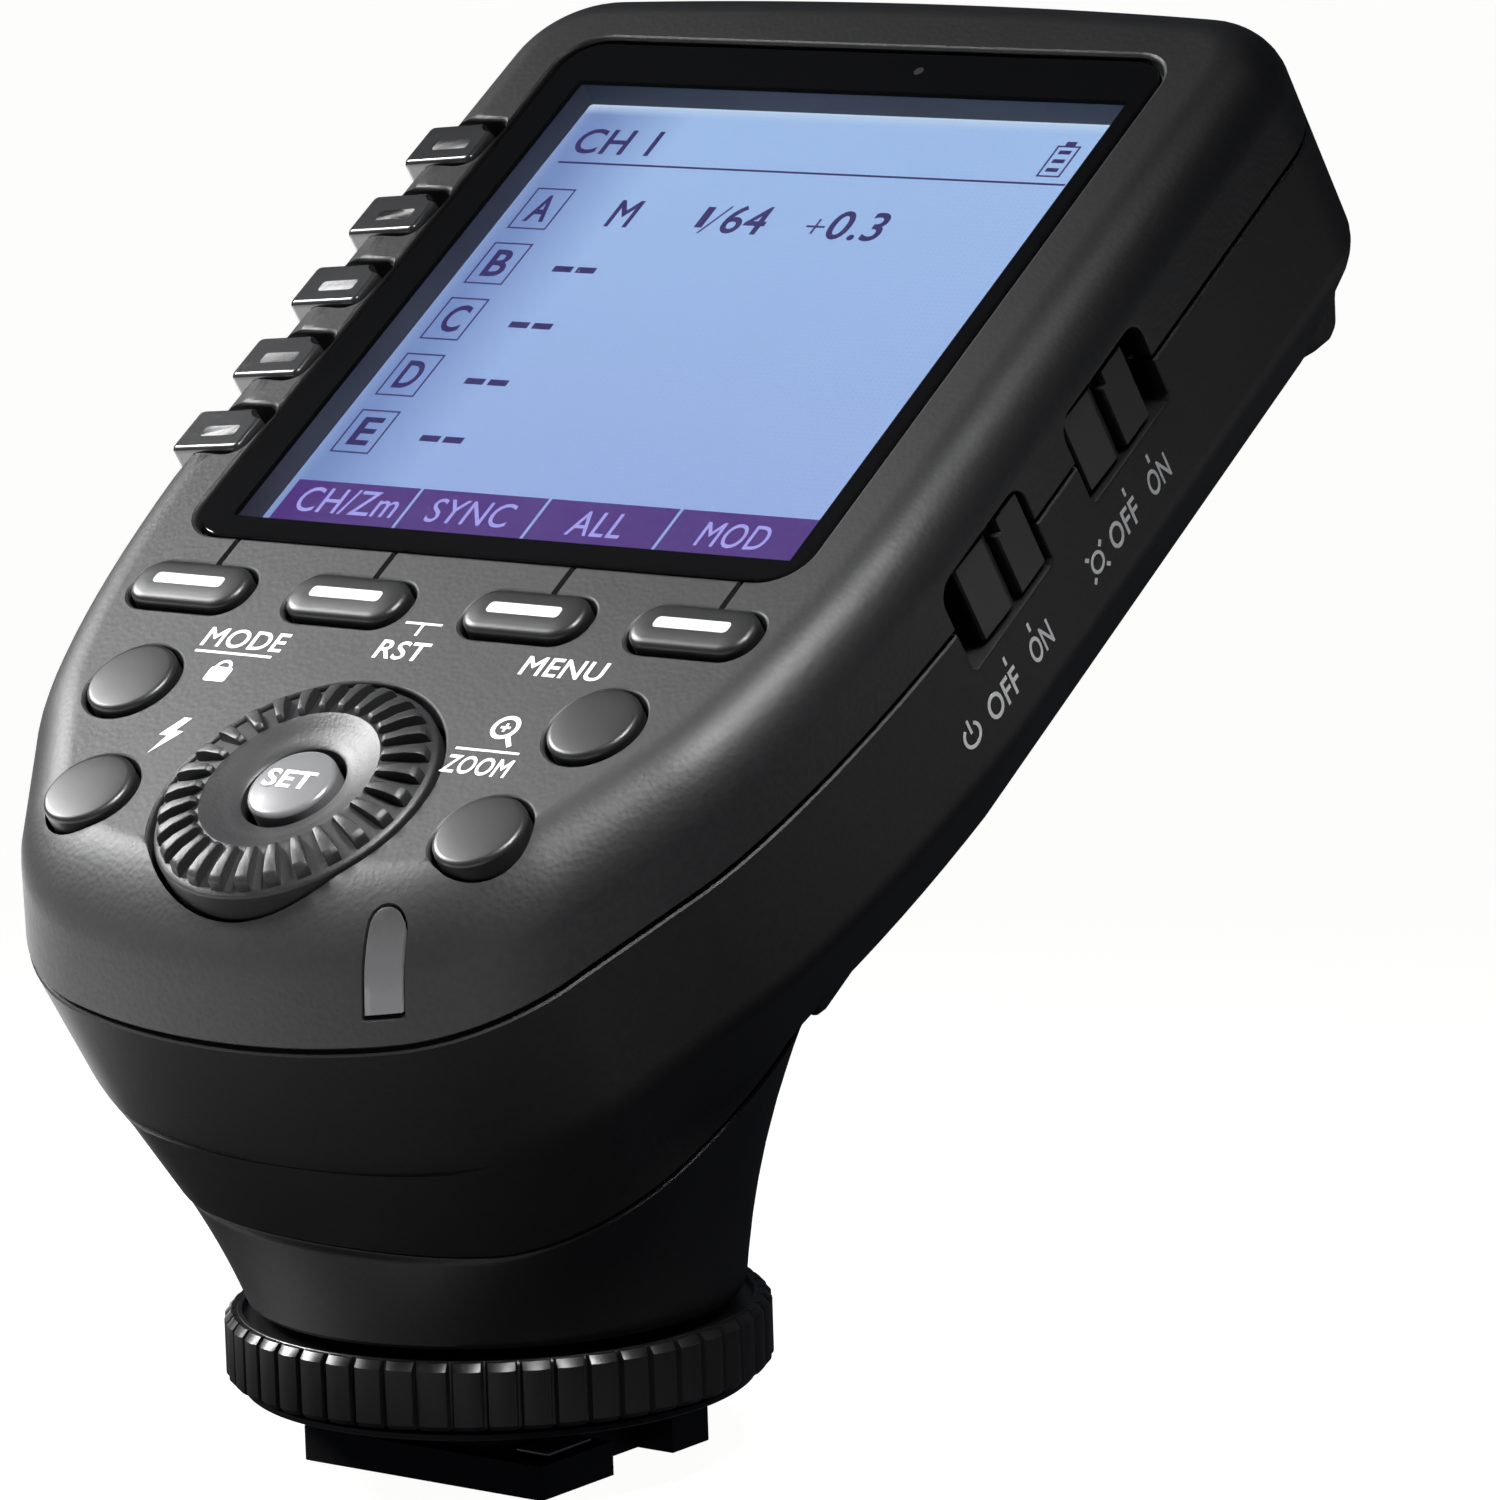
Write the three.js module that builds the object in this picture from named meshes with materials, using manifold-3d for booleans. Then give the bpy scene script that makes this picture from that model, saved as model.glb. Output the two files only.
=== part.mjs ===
// Wireless flash trigger: a slanted display-and-control body on a neck that clamps into a camera's accessory shoe.
// Millimetres, +Z up. The origin is the centre of the shoe foot's sole. -Y is the user's side, +Y the lens side,
// +X the side with the two slide switches. The body is drawn in its own "slab" frame: x across, y up along the
// face from the dial end to the display end, z square to the face with z = 0 on it and z < 0 inside.
import * as THREE from "three";
import { mergeVertices } from "three/addons/utils/BufferGeometryUtils.js";
import Module from "manifold-3d";

const wasm = await Module();
wasm.setup();

// ---- driving dimensions ----
const TILT = THREE.MathUtils.degToRad(33.4); // face against the horizontal
const RING_TOP = 9.65; // height of the lock ring's top over the sole
const FACE_OFFSET = 37.55; // face plane to the ring-top centre, square to the face
const GAP = 0.3; // between pieces that rest on each other

const HALF_W = 29.8; // half the body's width
const BODY_TOP = 80.5; // display end, at the corners
const TOP_CROWN = 0.7; // rise of the display end between its corners
const BODY_LOW = -9.5; // dial end, at the seam
const CORNER_R = 7;
const RIM_R = 3.8; // rounding between face and side wall
const SEAM = -7.2; // joint between top and bottom shell
const CREASE = -16.4; // lower edge of the side wall
const UNDERSIDE = -24.2;
const NECK_SEAM = -24.5; // the bottom shell's neck root ends here
const STRETCH_FROM = 30; // the dial end leans out below this height along the face
const STRETCH = 0.0186; // per mm of depth
const SKIN = 2; // wall thickness

const GLASS = { x0: -23.3, x1: 23.3, y0: 25.6, y1: 74.1, r: 1.8, top: -0.2, t: 0.8 };
const WINDOW = { x0: -20.6, x1: 22.1, y0: 27.6, y1: 69.9 };
const BUTTON_TRAVEL = 0.5;
const ROUND_BUTTON_R = 2.95;
const ROUND_BUTTONS = {
  mode_button: [-18, 12.2],
  menu_button: [17.4, 12.2],
  test_button: [-14.7, 2.75],
  zoom_button: [15.1, 2.8],
};
const FUNCTION_BUTTON = { w: 8.8, h: 3.7, y: 20.6, xs: [-19.15, -6.7, 7, 19.45] };
const GROUP_KEY = { x0: -30.2, x1: -24.1, h: 4, y: 35.05, pitch: 7.1, count: 5 };
const DIAL = { y: 4.6, r: 9.1, hole: 3.35, top: 1.4, ribs: 28 };
const SWITCH = { length: 9.8, width: 6.2, slider: 7.3, lower: 29.8, upper: 44.8 };
const RING_R = 16.65;
const RING_BOTTOM = 5.55;
const RING_TEETH = 50;
const DISC = { r: 15.6, z0: 4.75, z1: 5.25 };
const FOOT = { half: 9.3, y0: -7.9, y1: 8.6, t: 2.1, notch0: -1, notch1: 4.8, notchX: 6.6 };
const STEM_R = 7.6;
const NECK_R = 15.1; // neck where it enters the lock ring
const DOOR = { half: 20.8, hinge: 29.4, axis: -23.55, barrel: 0.65, top: -22.9 };
const BATTERY = { r: 7.1, x: 7.6, y0: 27.2, y1: 77.2, z: -15.5 };
const LUG = { x: 21, y0: 14, y1: 19, z: -23.75, r: 0.95 };

// ---- solids ----
const toSolid = (geometry) => {
  const bare = geometry.index ? geometry.toNonIndexed() : geometry.clone();
  bare.deleteAttribute("normal");
  bare.deleteAttribute("uv");
  const merged = mergeVertices(bare, 1e-4);
  return new wasm.Manifold(
    new wasm.Mesh({
      numProp: 3,
      vertProperties: merged.attributes.position.array,
      triVerts: new Uint32Array(merged.index.array),
    }),
  );
};

const toGeometry = (solid) => {
  const mesh = solid.getMesh();
  const geometry = new THREE.BufferGeometry();
  geometry.setAttribute("position", new THREE.BufferAttribute(mesh.vertProperties, 3));
  geometry.setIndex(new THREE.BufferAttribute(mesh.triVerts, 1));
  const flat = geometry.toNonIndexed();
  flat.computeVertexNormals();
  return flat;
};

const union = (...solids) => solids.reduce((all, next) => all.add(next));
const cut = (solid, ...tools) => tools.reduce((left, tool) => left.subtract(tool), solid);

const box = (x0, x1, y0, y1, z0, z1) =>
  toSolid(
    new THREE.BoxGeometry(x1 - x0, y1 - y0, z1 - z0).translate((x0 + x1) / 2, (y0 + y1) / 2, (z0 + z1) / 2),
  );

const prism = (shape, z0, z1, curveSegments = 8) =>
  toSolid(new THREE.ExtrudeGeometry(shape, { depth: z1 - z0, bevelEnabled: false, curveSegments }).translate(0, 0, z0));

const drum = (x, y, r, z0, z1, segments = 32) =>
  toSolid(
    new THREE.CylinderGeometry(r, r, z1 - z0, segments).rotateX(Math.PI / 2).translate(x, y, (z0 + z1) / 2),
  );

const rodAlongX = (x0, x1, y, z, r, segments = 12) =>
  toSolid(
    new THREE.CylinderGeometry(r, r, x1 - x0, segments).rotateZ(Math.PI / 2).translate((x0 + x1) / 2, y, z),
  );

const rodAlongY = (x, y0, y1, z, r, segments = 24) =>
  toSolid(new THREE.CylinderGeometry(r, r, y1 - y0, segments).translate(x, (y0 + y1) / 2, z));

// A turned piece: profile points are [radius, height], from low to high on the outside.
const turned = (profile, segments = 48) =>
  toSolid(new THREE.LatheGeometry(profile.map(([r, z]) => new THREE.Vector2(r, z)), segments).rotateX(Math.PI / 2));

// A closed skin over rings of equal point count, listed from low to high, each running anticlockwise from above.
const loft = (rings) => {
  const points = rings.flat();
  const n = rings[0].length;
  const faces = [];
  for (let k = 0; k + 1 < rings.length; k++) {
    for (let i = 0; i < n; i++) {
      const a = k * n + i;
      const b = k * n + ((i + 1) % n);
      faces.push(a, b, b + n, a, b + n, a + n);
    }
  }
  const cap = THREE.ShapeUtils.triangulateShape(rings[0].map((p) => new THREE.Vector2(p.x, p.y)), []);
  const last = (rings.length - 1) * n;
  for (const [a, b, c] of cap) {
    faces.push(c, b, a, last + a, last + b, last + c);
  }
  const geometry = new THREE.BufferGeometry().setFromPoints(points);
  geometry.setIndex(faces);
  return toSolid(geometry);
};

const roundedRect = (x0, x1, y0, y1, r) => {
  const shape = new THREE.Shape();
  shape.moveTo(x0 + r, y0);
  shape.lineTo(x1 - r, y0);
  shape.absarc(x1 - r, y0 + r, r, -Math.PI / 2, 0);
  shape.lineTo(x1, y1 - r);
  shape.absarc(x1 - r, y1 - r, r, 0, Math.PI / 2);
  shape.lineTo(x0 + r, y1);
  shape.absarc(x0 + r, y1 - r, r, Math.PI / 2, Math.PI);
  shape.lineTo(x0, y0 + r);
  shape.absarc(x0 + r, y0 + r, r, Math.PI, 1.5 * Math.PI);
  return shape;
};

const obround = (x, y, w, h) => roundedRect(x - w / 2, x + w / 2, y - h / 2, y + h / 2, h / 2 - 0.01);

// ---- outlines in the slab frame ----
// Right half of an outline from the low end to the high end, mirrored to close it, running anticlockwise.
const mirrored = (half) => {
  const right = half.getPoints(5);
  const left = right.slice(1, -1).map((p) => new THREE.Vector2(-p.x, p.y)).reverse();
  return [...right, ...left];
};

const bodyHalf = new THREE.Path();
bodyHalf.moveTo(0, BODY_LOW);
bodyHalf.quadraticCurveTo(7, BODY_LOW, 12.8, -7.8);
bodyHalf.quadraticCurveTo(17.6, -6.2, 20.4, -1.9);
bodyHalf.lineTo(25.2, 7.2);
bodyHalf.bezierCurveTo(27.4, 11.6, 29.2, 21, HALF_W, 31);
bodyHalf.lineTo(HALF_W, BODY_TOP - CORNER_R);
bodyHalf.absarc(HALF_W - CORNER_R, BODY_TOP - CORNER_R, CORNER_R, 0, Math.PI / 2 - 0.05);
bodyHalf.quadraticCurveTo(12, BODY_TOP + TOP_CROWN, 0, BODY_TOP + TOP_CROWN);
const BODY_OUTLINE = mirrored(bodyHalf);

const neckHalf = new THREE.Path();
neckHalf.moveTo(0, -8.6);
neckHalf.quadraticCurveTo(7, -8.6, 11.3, -7.5);
neckHalf.bezierCurveTo(15.4, -6.2, 18, -2.6, 19.2, 1.2);
neckHalf.quadraticCurveTo(20.6, 6, 20.6, 11);
neckHalf.bezierCurveTo(20.6, 20, 13, 25.4, 0, 25.4);
const NECK_OUTLINE = mirrored(neckHalf);

// Moves every point of an outline inwards by inset(point).
const insetBy = (outline, inset) =>
  outline.map((p, i) => {
    const before = outline[(i + outline.length - 1) % outline.length];
    const after = outline[(i + 1) % outline.length];
    const along = after.clone().sub(before).normalize();
    return new THREE.Vector2(p.x - along.y * inset(p), p.y + along.x * inset(p));
  });

const level = (outline, z, stretch = 1) =>
  outline.map((p) => {
    const y = p.y < STRETCH_FROM ? STRETCH_FROM - (STRETCH_FROM - p.y) * stretch : p.y;
    return new THREE.Vector3(p.x, y, z);
  });

const leanAt = (z) => 1 - STRETCH * (z - SEAM);

// The space at least inset away from the top shell's outer wall, between two depths.
const inside = (inset, z0, z1) =>
  loft([z0, z1].map((z) => level(insetBy(BODY_OUTLINE, () => inset), z, leanAt(z))));

const topSkin = (inset, ceiling, rim) => {
  const rings = [];
  const low = inset > 0 ? SEAM - 1 : SEAM + GAP / 2;
  rings.push(level(insetBy(BODY_OUTLINE, () => inset), low, leanAt(SEAM)));
  const steps = inset > 0 ? 2 : 4;
  for (let k = 0; k <= steps; k++) {
    const turn = (k / steps) * (Math.PI / 2);
    const z = ceiling - rim * (1 - Math.sin(turn));
    const edge = inset + rim * (1 - Math.cos(turn));
    rings.push(level(insetBy(BODY_OUTLINE, () => edge), z, leanAt(z)));
  }
  return loft(rings);
};

// How far the bevel under the crease has come in at the neck seam: little at the dial end, much along the sides.
const bevelAt = (p) => {
  const along = THREE.MathUtils.smoothstep(p.y, -12, 15);
  const atTop = THREE.MathUtils.smoothstep(p.y, 78, 80);
  return 0.8 + 5.5 * along * (1 - 0.6 * atTop);
};
const bottomSkin = (inset, floor) => {
  const share = (z) => (CREASE - z) / (CREASE - NECK_SEAM);
  const rings = [
    level(insetBy(BODY_OUTLINE, (p) => inset + bevelAt(p) * (share(floor) + (inset ? 0 : 0.09))), floor),
    level(insetBy(BODY_OUTLINE, (p) => inset + bevelAt(p) * share(floor + 0.7)), floor + 0.7),
    level(insetBy(BODY_OUTLINE, () => inset), CREASE),
    level(insetBy(BODY_OUTLINE, () => inset), inset ? SEAM + 1 : SEAM - GAP / 2),
  ];
  return loft(rings);
};

// ---- materials and placing ----
const finish = (color, roughness, metalness = 0) => new THREE.MeshStandardMaterial({ color, roughness, metalness });
const SHELL = finish(0x17171a, 0.6);
const KEY = finish(0x1b1b1e, 0.45);
const GLOSS = finish(0x0b0b0d, 0.12);
const METAL = finish(0xb9bcc2, 0.3, 1);
const BRASS = finish(0xc8a24a, 0.35, 1);
const BOARD = finish(0x1d5a37, 0.55);
const RUBBER = finish(0x2a2a2d, 0.85);
const CREAM = finish(0xe8e8e2, 0.5);
const RED = finish(0x7a1014, 0.2);
const LCD = finish(0x9fb6e4, 0.35);
const CELL = finish(0x2f4f86, 0.4);
const SET_GREY = finish(0x8c8c90, 0.3, 0.4);
const SMOKE = finish(0x777a83, 0.3);

const group = new THREE.Group();
const slab = new THREE.Group();
slab.rotation.x = TILT;
slab.position.set(0, -Math.sin(TILT) * FACE_OFFSET, Math.cos(TILT) * FACE_OFFSET + RING_TOP);
group.add(slab);
slab.updateMatrix();

const place = (parent, name, solid, material) => {
  const mesh = new THREE.Mesh(toGeometry(solid), material);
  mesh.name = name;
  parent.add(mesh);
};

// ---- places that several pieces share ----
const groupKeyY = (k) => GROUP_KEY.y + k * GROUP_KEY.pitch;
const GROUP_NAMES = ["e", "d", "c", "b", "a"];
const SCREWS = [
  [-24.6, 25.4],
  [24.6, 25.4],
  [-20.6, 74.4],
  [20.6, 74.4],
];
const SIDE_PORTS = { y0: 34, y1: 42.4, jackY: 52, z: -12 };
const STATUS_LAMP = { x: 11.6, half: 1.25, y: -2.5 };

const switchOpening = (y) => box(25, 40, y, y + SWITCH.length, SEAM - SWITCH.width / 2, SEAM + SWITCH.width / 2);

const lampSlot = (grow) => {
  const { x, half, y } = STATUS_LAMP;
  return box(x - half - grow, x + half + grow, -14, y + grow, -5.6 - grow, 3);
};

// ---- top shell, with its pockets and holes ----
const topShell = () => {
  const holes = [
    prism(roundedRect(GLASS.x0 - GAP, GLASS.x1 + GAP, GLASS.y0 - GAP, GLASS.y1 + GAP, GLASS.r + GAP), -1.3, 1, 4),
    box(WINDOW.x0 - 0.4, WINDOW.x1 + 0.4, WINDOW.y0 - 0.4, WINDOW.y1 + 0.4, -4, 0),
    drum(0, DIAL.y, DIAL.r + 0.5, -4, 1, 48),
    switchOpening(SWITCH.lower),
    switchOpening(SWITCH.upper),
    lampSlot(0.15),
  ];
  for (const [x, y] of Object.values(ROUND_BUTTONS)) {
    holes.push(drum(x, y, ROUND_BUTTON_R + 0.35, -4, 1, 28));
  }
  for (const x of FUNCTION_BUTTON.xs) {
    holes.push(prism(obround(x, FUNCTION_BUTTON.y, FUNCTION_BUTTON.w + 0.7, FUNCTION_BUTTON.h + 0.7), -4, 1, 4));
    holes.push(box(x - 0.15, x + 0.15, FUNCTION_BUTTON.y + 2, GLASS.y0, -0.35, 1));
  }
  for (let k = 0; k < GROUP_KEY.count; k++) {
    const y = groupKeyY(k);
    const half = GROUP_KEY.h / 2 + GAP;
    holes.push(prism(roundedRect(-34, GROUP_KEY.x1 + GAP, y - half, y + half, 1.2), -3.2, 1, 3));
  }
  const walls = cut(topSkin(0, 0, RIM_R), topSkin(SKIN, -SKIN, RIM_R - 1.2));
  const bosses = SCREWS.map(([x, y]) => drum(x, y, 1.7, -6.9, -1.5, 12));
  const pilots = SCREWS.map(([x, y]) => drum(x, y, 0.75, -8, -2.2, 8));
  return cut(union(walls, ...bosses), ...holes, ...pilots);
};

// ---- bottom shell: tub, neck root, door recess and openings ----
const doorRecess = () => box(-DOOR.half - GAP, DOOR.half + GAP, DOOR.hinge - 3, 90, -30, DOOR.top + GAP);

const neckRoot = (outline, inset, high) =>
  loft([
    level(insetBy(outline, () => inset), NECK_SEAM),
    level(insetBy(outline, () => inset - 0.1 * (high - NECK_SEAM)), high),
  ]);

const bottomShell = () => {
  const outer = union(bottomSkin(0, UNDERSIDE), neckRoot(NECK_OUTLINE, 0, CREASE));
  const inner = union(bottomSkin(SKIN, UNDERSIDE + SKIN + 1), box(-12, 12, 0, 18, -30, -18));
  const bosses = union(...SCREWS.map(([x, y]) => drum(x, y, 1.8, -24, -7.5, 12)));
  const lugs = [-1, 1].map((side) => rodAlongY(side * LUG.x, LUG.y0, LUG.y1, LUG.z, LUG.r, 16));
  const bores = SCREWS.map(([x, y]) => union(drum(x, y, 0.95, -30, -7, 8), drum(x, y, 1.35, -30, -12, 12)));
  const tub = union(cut(outer, inner), bosses.intersect(bottomSkin(0.5, UNDERSIDE + 0.5)), ...lugs);
  return cut(
    tub,
    ...bores,
    doorRecess(),
    box(-16.6, 16.6, 25.1, 78.4, DOOR.top + 0.2, -15),
    switchOpening(SWITCH.lower),
    switchOpening(SWITCH.upper),
    box(-40, -25, SIDE_PORTS.y0, SIDE_PORTS.y1, SIDE_PORTS.z - 1.8, SIDE_PORTS.z + 1.8),
    rodAlongX(-40, -25, SIDE_PORTS.jackY, SIDE_PORTS.z, 2.3, 24),
  );
};

place(slab, "top_shell", topShell(), SHELL);
place(slab, "bottom_shell", bottomShell(), SHELL);

// ---- display stack ----
place(
  slab,
  "display_glass",
  prism(roundedRect(GLASS.x0, GLASS.x1, GLASS.y0, GLASS.y1, GLASS.r), GLASS.top - GLASS.t, GLASS.top, 4),
  GLOSS,
);
place(slab, "lcd_panel", box(WINDOW.x0 - 1, WINDOW.x1 + 1, 27.4, 71.6, -3.7, -2.75), LCD);
place(slab, "backlight_guide", box(WINDOW.x0 - 1, WINDOW.x1 + 1, 27.4, 71.6, -4.9, -3.95), CREAM);

// ---- main board and what stands on it ----
const board = () =>
  cut(
    prism(roundedRect(-24.2, 24.2, -1, 76.6, 3), -6.2, -5.2, 3).intersect(inside(3.4, -7, -4)),
    ...SCREWS.map(([x, y]) => drum(x, y, 2.1, -8, -4, 12)),
  );
place(slab, "main_board", board(), BOARD);

// The rubber mat carries one dome per button and has a window for the dial's encoder.
const buttonMat = () => {
  return cut(
    inside(4.6, -4.7, -3.8).intersect(box(-24, 24, -3.5, 23.6, -6, -3)),
    box(-9.9, 9.9, DIAL.y - 9.9, DIAL.y + 9.9, -6, -3),
    box(8.9, 14.4, -12, -0.6, -6, -3),
  );
};
place(slab, "button_mat", buttonMat(), RUBBER);

const encoder = () =>
  cut(
    union(box(-8.2, 8.2, DIAL.y - 8.2, DIAL.y + 8.2, -4.9, -3.3), drum(0, DIAL.y, 4.8, -4, -2.4, 20)),
    drum(0, DIAL.y, 3.2, -6, -1, 24),
  );
place(slab, "dial_encoder", encoder(), SHELL);

// ---- buttons ----
// A cap with a softened top edge over a wider flange that the shell holds in.
const capButton = (cap, flange, top) =>
  union(prism(cap(0), -2.6, top - 0.4, 3), prism(cap(0.35), top - 0.5, top, 3), prism(flange, -3, -2.4, 2));

for (const [name, [x, y]] of Object.entries(ROUND_BUTTONS)) {
  const cap = turned([
    [0, -2.8],
    [ROUND_BUTTON_R, -2.8],
    [ROUND_BUTTON_R, 0.15],
    [ROUND_BUTTON_R - 0.4, 0.55],
    [0, 0.55],
  ], 28);
  const flange = drum(x, y, ROUND_BUTTON_R + 0.6, -3, -2.5, 20).intersect(inside(3.6, -3.2, -2.3));
  place(slab, name, cap.translate([x, y, 0]).add(flange), KEY);
}

FUNCTION_BUTTON.xs.forEach((x, k) => {
  const { w, h, y } = FUNCTION_BUTTON;
  const cap = (less) => obround(x, y, w - 2 * less, h - 2 * less);
  place(slab, `function_button_${k + 1}`, capButton(cap, obround(x, y, w + 1.4, h + 1.4), 0.62), KEY);
});

GROUP_NAMES.forEach((letter, k) => {
  const y = groupKeyY(k);
  const { x0, x1, h } = GROUP_KEY;
  const outline = (less) => {
    const shape = roundedRect(x0 + less, x1 - less, y - h / 2 + less, y + h / 2 - less, 0.7);
    return shape.getPoints(3).slice(0, -1);
  };
  // The top leans outwards with the rim.
  const ring = (less, drop) => outline(less).map((p) => new THREE.Vector3(p.x, p.y, 0.2 - 0.11 * (x1 - p.x) - drop));
  const body = loft([level(outline(0), -2.5), ring(0, 0.35), ring(0.35, 0)]);
  const tongue = box(-26.6, -22.9, y - 1.7, y + 1.7, -3, -2.5);
  const web = box(-26.6, x1 - 0.1, y - 1.7, y + 1.7, -2.6, -2);
  place(slab, `group_button_${letter}`, union(body, web, tongue), GLOSS);
});

// ---- dial and its centre button ----
// The rim is a cone cut into radial ribs; inside it lies a shallow bowl.
const dial = () => {
  const perRib = 4;
  const profile = [
    [DIAL.hole, -2.1, 0],
    [DIAL.r, -2.1, 0],
    [DIAL.r, 0.1, 0],
    [DIAL.r - 0.4, DIAL.top - 0.4, 1],
    [5.9, DIAL.top, 0.6],
    [4.3, 0.5, 0],
    [DIAL.hole, 0.3, 0],
  ];
  const n = DIAL.ribs * perRib;
  const points = [];
  for (const [r, z, ribbed] of profile) {
    for (let i = 0; i < n; i++) {
      const turn = (i / n) * 2 * Math.PI;
      const sunk = i % perRib < 2 ? 0 : 0.8 * ribbed;
      points.push(new THREE.Vector3(r * Math.cos(turn), r * Math.sin(turn) + DIAL.y, z - sunk));
    }
  }
  const faces = [];
  profile.forEach((_, k) => {
    const next = ((k + 1) % profile.length) * n;
    for (let i = 0; i < n; i++) {
      const j = (i + 1) % n;
      faces.push(k * n + i, k * n + j, next + j, k * n + i, next + j, next + i);
    }
  });
  const geometry = new THREE.BufferGeometry().setFromPoints(points);
  geometry.setIndex(faces);
  return toSolid(geometry);
};
place(slab, "select_dial", dial(), KEY);

const setButton = turned([
  [0, -3.6],
  [2.6, -3.6],
  [2.6, -2.2],
  [2.9, -2.2],
  [2.9, 0.6],
  [2.6, 0.9],
  [0, 0.9],
], 28);
place(slab, "set_button", setButton.translate([0, DIAL.y, 0]), SET_GREY);

// ---- status lamp: a light pipe that follows the rim from the face down the end wall ----
const statusLamp = () => cut(topSkin(0, 0, RIM_R), topSkin(1.6, -1.6, RIM_R - 1)).intersect(lampSlot(-0.15));
place(slab, "status_lamp", statusLamp(), SMOKE);

// ---- slide switches ----
// The thumb piece stands in the wall's opening; a skirt behind the wall keeps it in and hides the inside.
const slider = (y0, skirt0, skirt1) => {
  const half = SWITCH.width / 2 - 0.3;
  const mid = y0 + SWITCH.slider * 0.57;
  return union(
    box(26.9, 29.15, y0, y0 + SWITCH.slider, SEAM - half, SEAM + half),
    box(29, 29.6, y0, mid - 0.9, SEAM - half, SEAM + half),
    box(29, 29.6, mid, y0 + SWITCH.slider, SEAM - half, SEAM + half),
    box(26.4, 27.1, skirt0, skirt1, SEAM - half - 0.7, SEAM + half + 0.4),
    box(25.4, 26.6, mid - 1, mid + 1, -10.2, -8.6),
  );
};
const lowerSliderY = SWITCH.lower + SWITCH.length - SWITCH.slider - 0.3;
const upperSliderY = SWITCH.upper + 0.6;
place(slab, "power_switch", slider(lowerSliderY, 29.2, 41.8), KEY);
place(slab, "lamp_switch", slider(upperSliderY, 42.6, 55), KEY);
place(slab, "power_switch_body", box(20.4, 25.1, 30, 39.4, -10.8, -6.5), METAL);
place(slab, "lamp_switch_body", box(20.4, 25.1, 44.8, 54.2, -10.8, -6.5), METAL);

// ---- sockets on the left wall ----
const usbPort = () => {
  const { y0, y1, z } = SIDE_PORTS;
  return cut(
    box(-29.2, -23.4, y0 + 0.3, y1 - 0.3, z - 1.5, z + 1.5),
    box(-30, -24, y0 + 0.7, y1 - 0.7, z - 1.1, z + 1.1),
  ).add(box(-27.5, -23.8, y0 + 2, y1 - 2, z - 0.35, z + 0.35));
};
place(slab, "usb_port", usbPort(), METAL);
const syncJack = cut(
  rodAlongX(-29.3, -19.4, SIDE_PORTS.jackY, SIDE_PORTS.z, 2, 24),
  rodAlongX(-31, -20.4, SIDE_PORTS.jackY, SIDE_PORTS.z, 1.27, 16),
);
place(slab, "sync_jack", syncJack, BRASS);

// ---- battery bay ----
const TRAY = { half: 16.2, y0: 25.4, y1: 78.1, wall: 0.8, z0: -22.2, z1: -8 };
const tray = cut(
  box(-TRAY.half, TRAY.half, TRAY.y0, TRAY.y1, TRAY.z0, TRAY.z1),
  box(-TRAY.half + TRAY.wall, TRAY.half - TRAY.wall, TRAY.y0 + TRAY.wall, TRAY.y1 - TRAY.wall, -24, -7),
);
place(slab, "battery_tray", tray, SHELL);

[-1, 1].forEach((side, k) => {
  const x = side * BATTERY.x;
  const nub = side < 0 ? [BATTERY.y0 - 0.4, BATTERY.y0 + 1] : [BATTERY.y1 - 2, BATTERY.y1 - 0.5];
  const can0 = side < 0 ? BATTERY.y0 : BATTERY.y0 - 0.7;
  const can1 = side < 0 ? BATTERY.y1 - 0.5 : BATTERY.y1 - 1.6;
  const cell = union(
    rodAlongY(x, can0, can1, BATTERY.z, BATTERY.r, 28),
    rodAlongY(x, nub[0], nub[1], BATTERY.z, 2.7, 14),
  );
  place(slab, `battery_${k + 1}`, cell, CELL);
});
const clip = (x0, x1, y0, y1) => box(x0, x1, y0, y1, -20, -11);
place(slab, "contact_plate_low", clip(-14.8, 14.8, 26.25, 26.45), METAL);
place(slab, "contact_plate_high_1", clip(-14.8, -1.2, 77, 77.2), METAL);
place(slab, "contact_plate_high_2", clip(1.2, 14.8, 77, 77.2), METAL);

// ---- battery door, hung on a pin that a bar across the recess carries ----
const barrelHole = (x0, x1) => rodAlongX(x0, x1, DOOR.hinge, DOOR.axis, 0.42, 10);
const SPLIT = 8.2; // the bar's barrel lies inside this half width, the door's outside it
const doorBody = () => {
  const plate = bottomSkin(0, UNDERSIDE).intersect(box(-DOOR.half, DOOR.half, DOOR.hinge, 90, -30, DOOR.top));
  const barrels = [-1, 1].map((side) =>
    side < 0
      ? rodAlongX(-DOOR.half + 1.4, -SPLIT - 0.15, DOOR.hinge, DOOR.axis, DOOR.barrel)
      : rodAlongX(SPLIT + 0.15, DOOR.half - 1.4, DOOR.hinge, DOOR.axis, DOOR.barrel),
  );
  const grips = [0, 1, 2, 3].map((k) => box(-7, 7, 66 + k * 1.6, 66.7 + k * 1.6, -30, UNDERSIDE + 0.35));
  return cut(
    union(plate, ...barrels),
    box(-SPLIT - 0.15, SPLIT + 0.15, 20, DOOR.hinge + 0.95, -30, -20),
    barrelHole(-30, 30),
    ...grips,
  );
};
const hingeBar = () => {
  const plate = box(-DOOR.half, DOOR.half, DOOR.hinge - 2.4, DOOR.hinge - 0.95, UNDERSIDE, DOOR.top);
  const tongue = box(-SPLIT + 0.15, SPLIT - 0.15, DOOR.hinge - 1.2, DOOR.hinge, UNDERSIDE, DOOR.top);
  const barrel = rodAlongX(-SPLIT + 0.15, SPLIT - 0.15, DOOR.hinge, DOOR.axis, DOOR.barrel);
  return cut(union(plate, tongue, barrel), barrelHole(-30, 30));
};
place(slab, "battery_door", doorBody(), SHELL);
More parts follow.
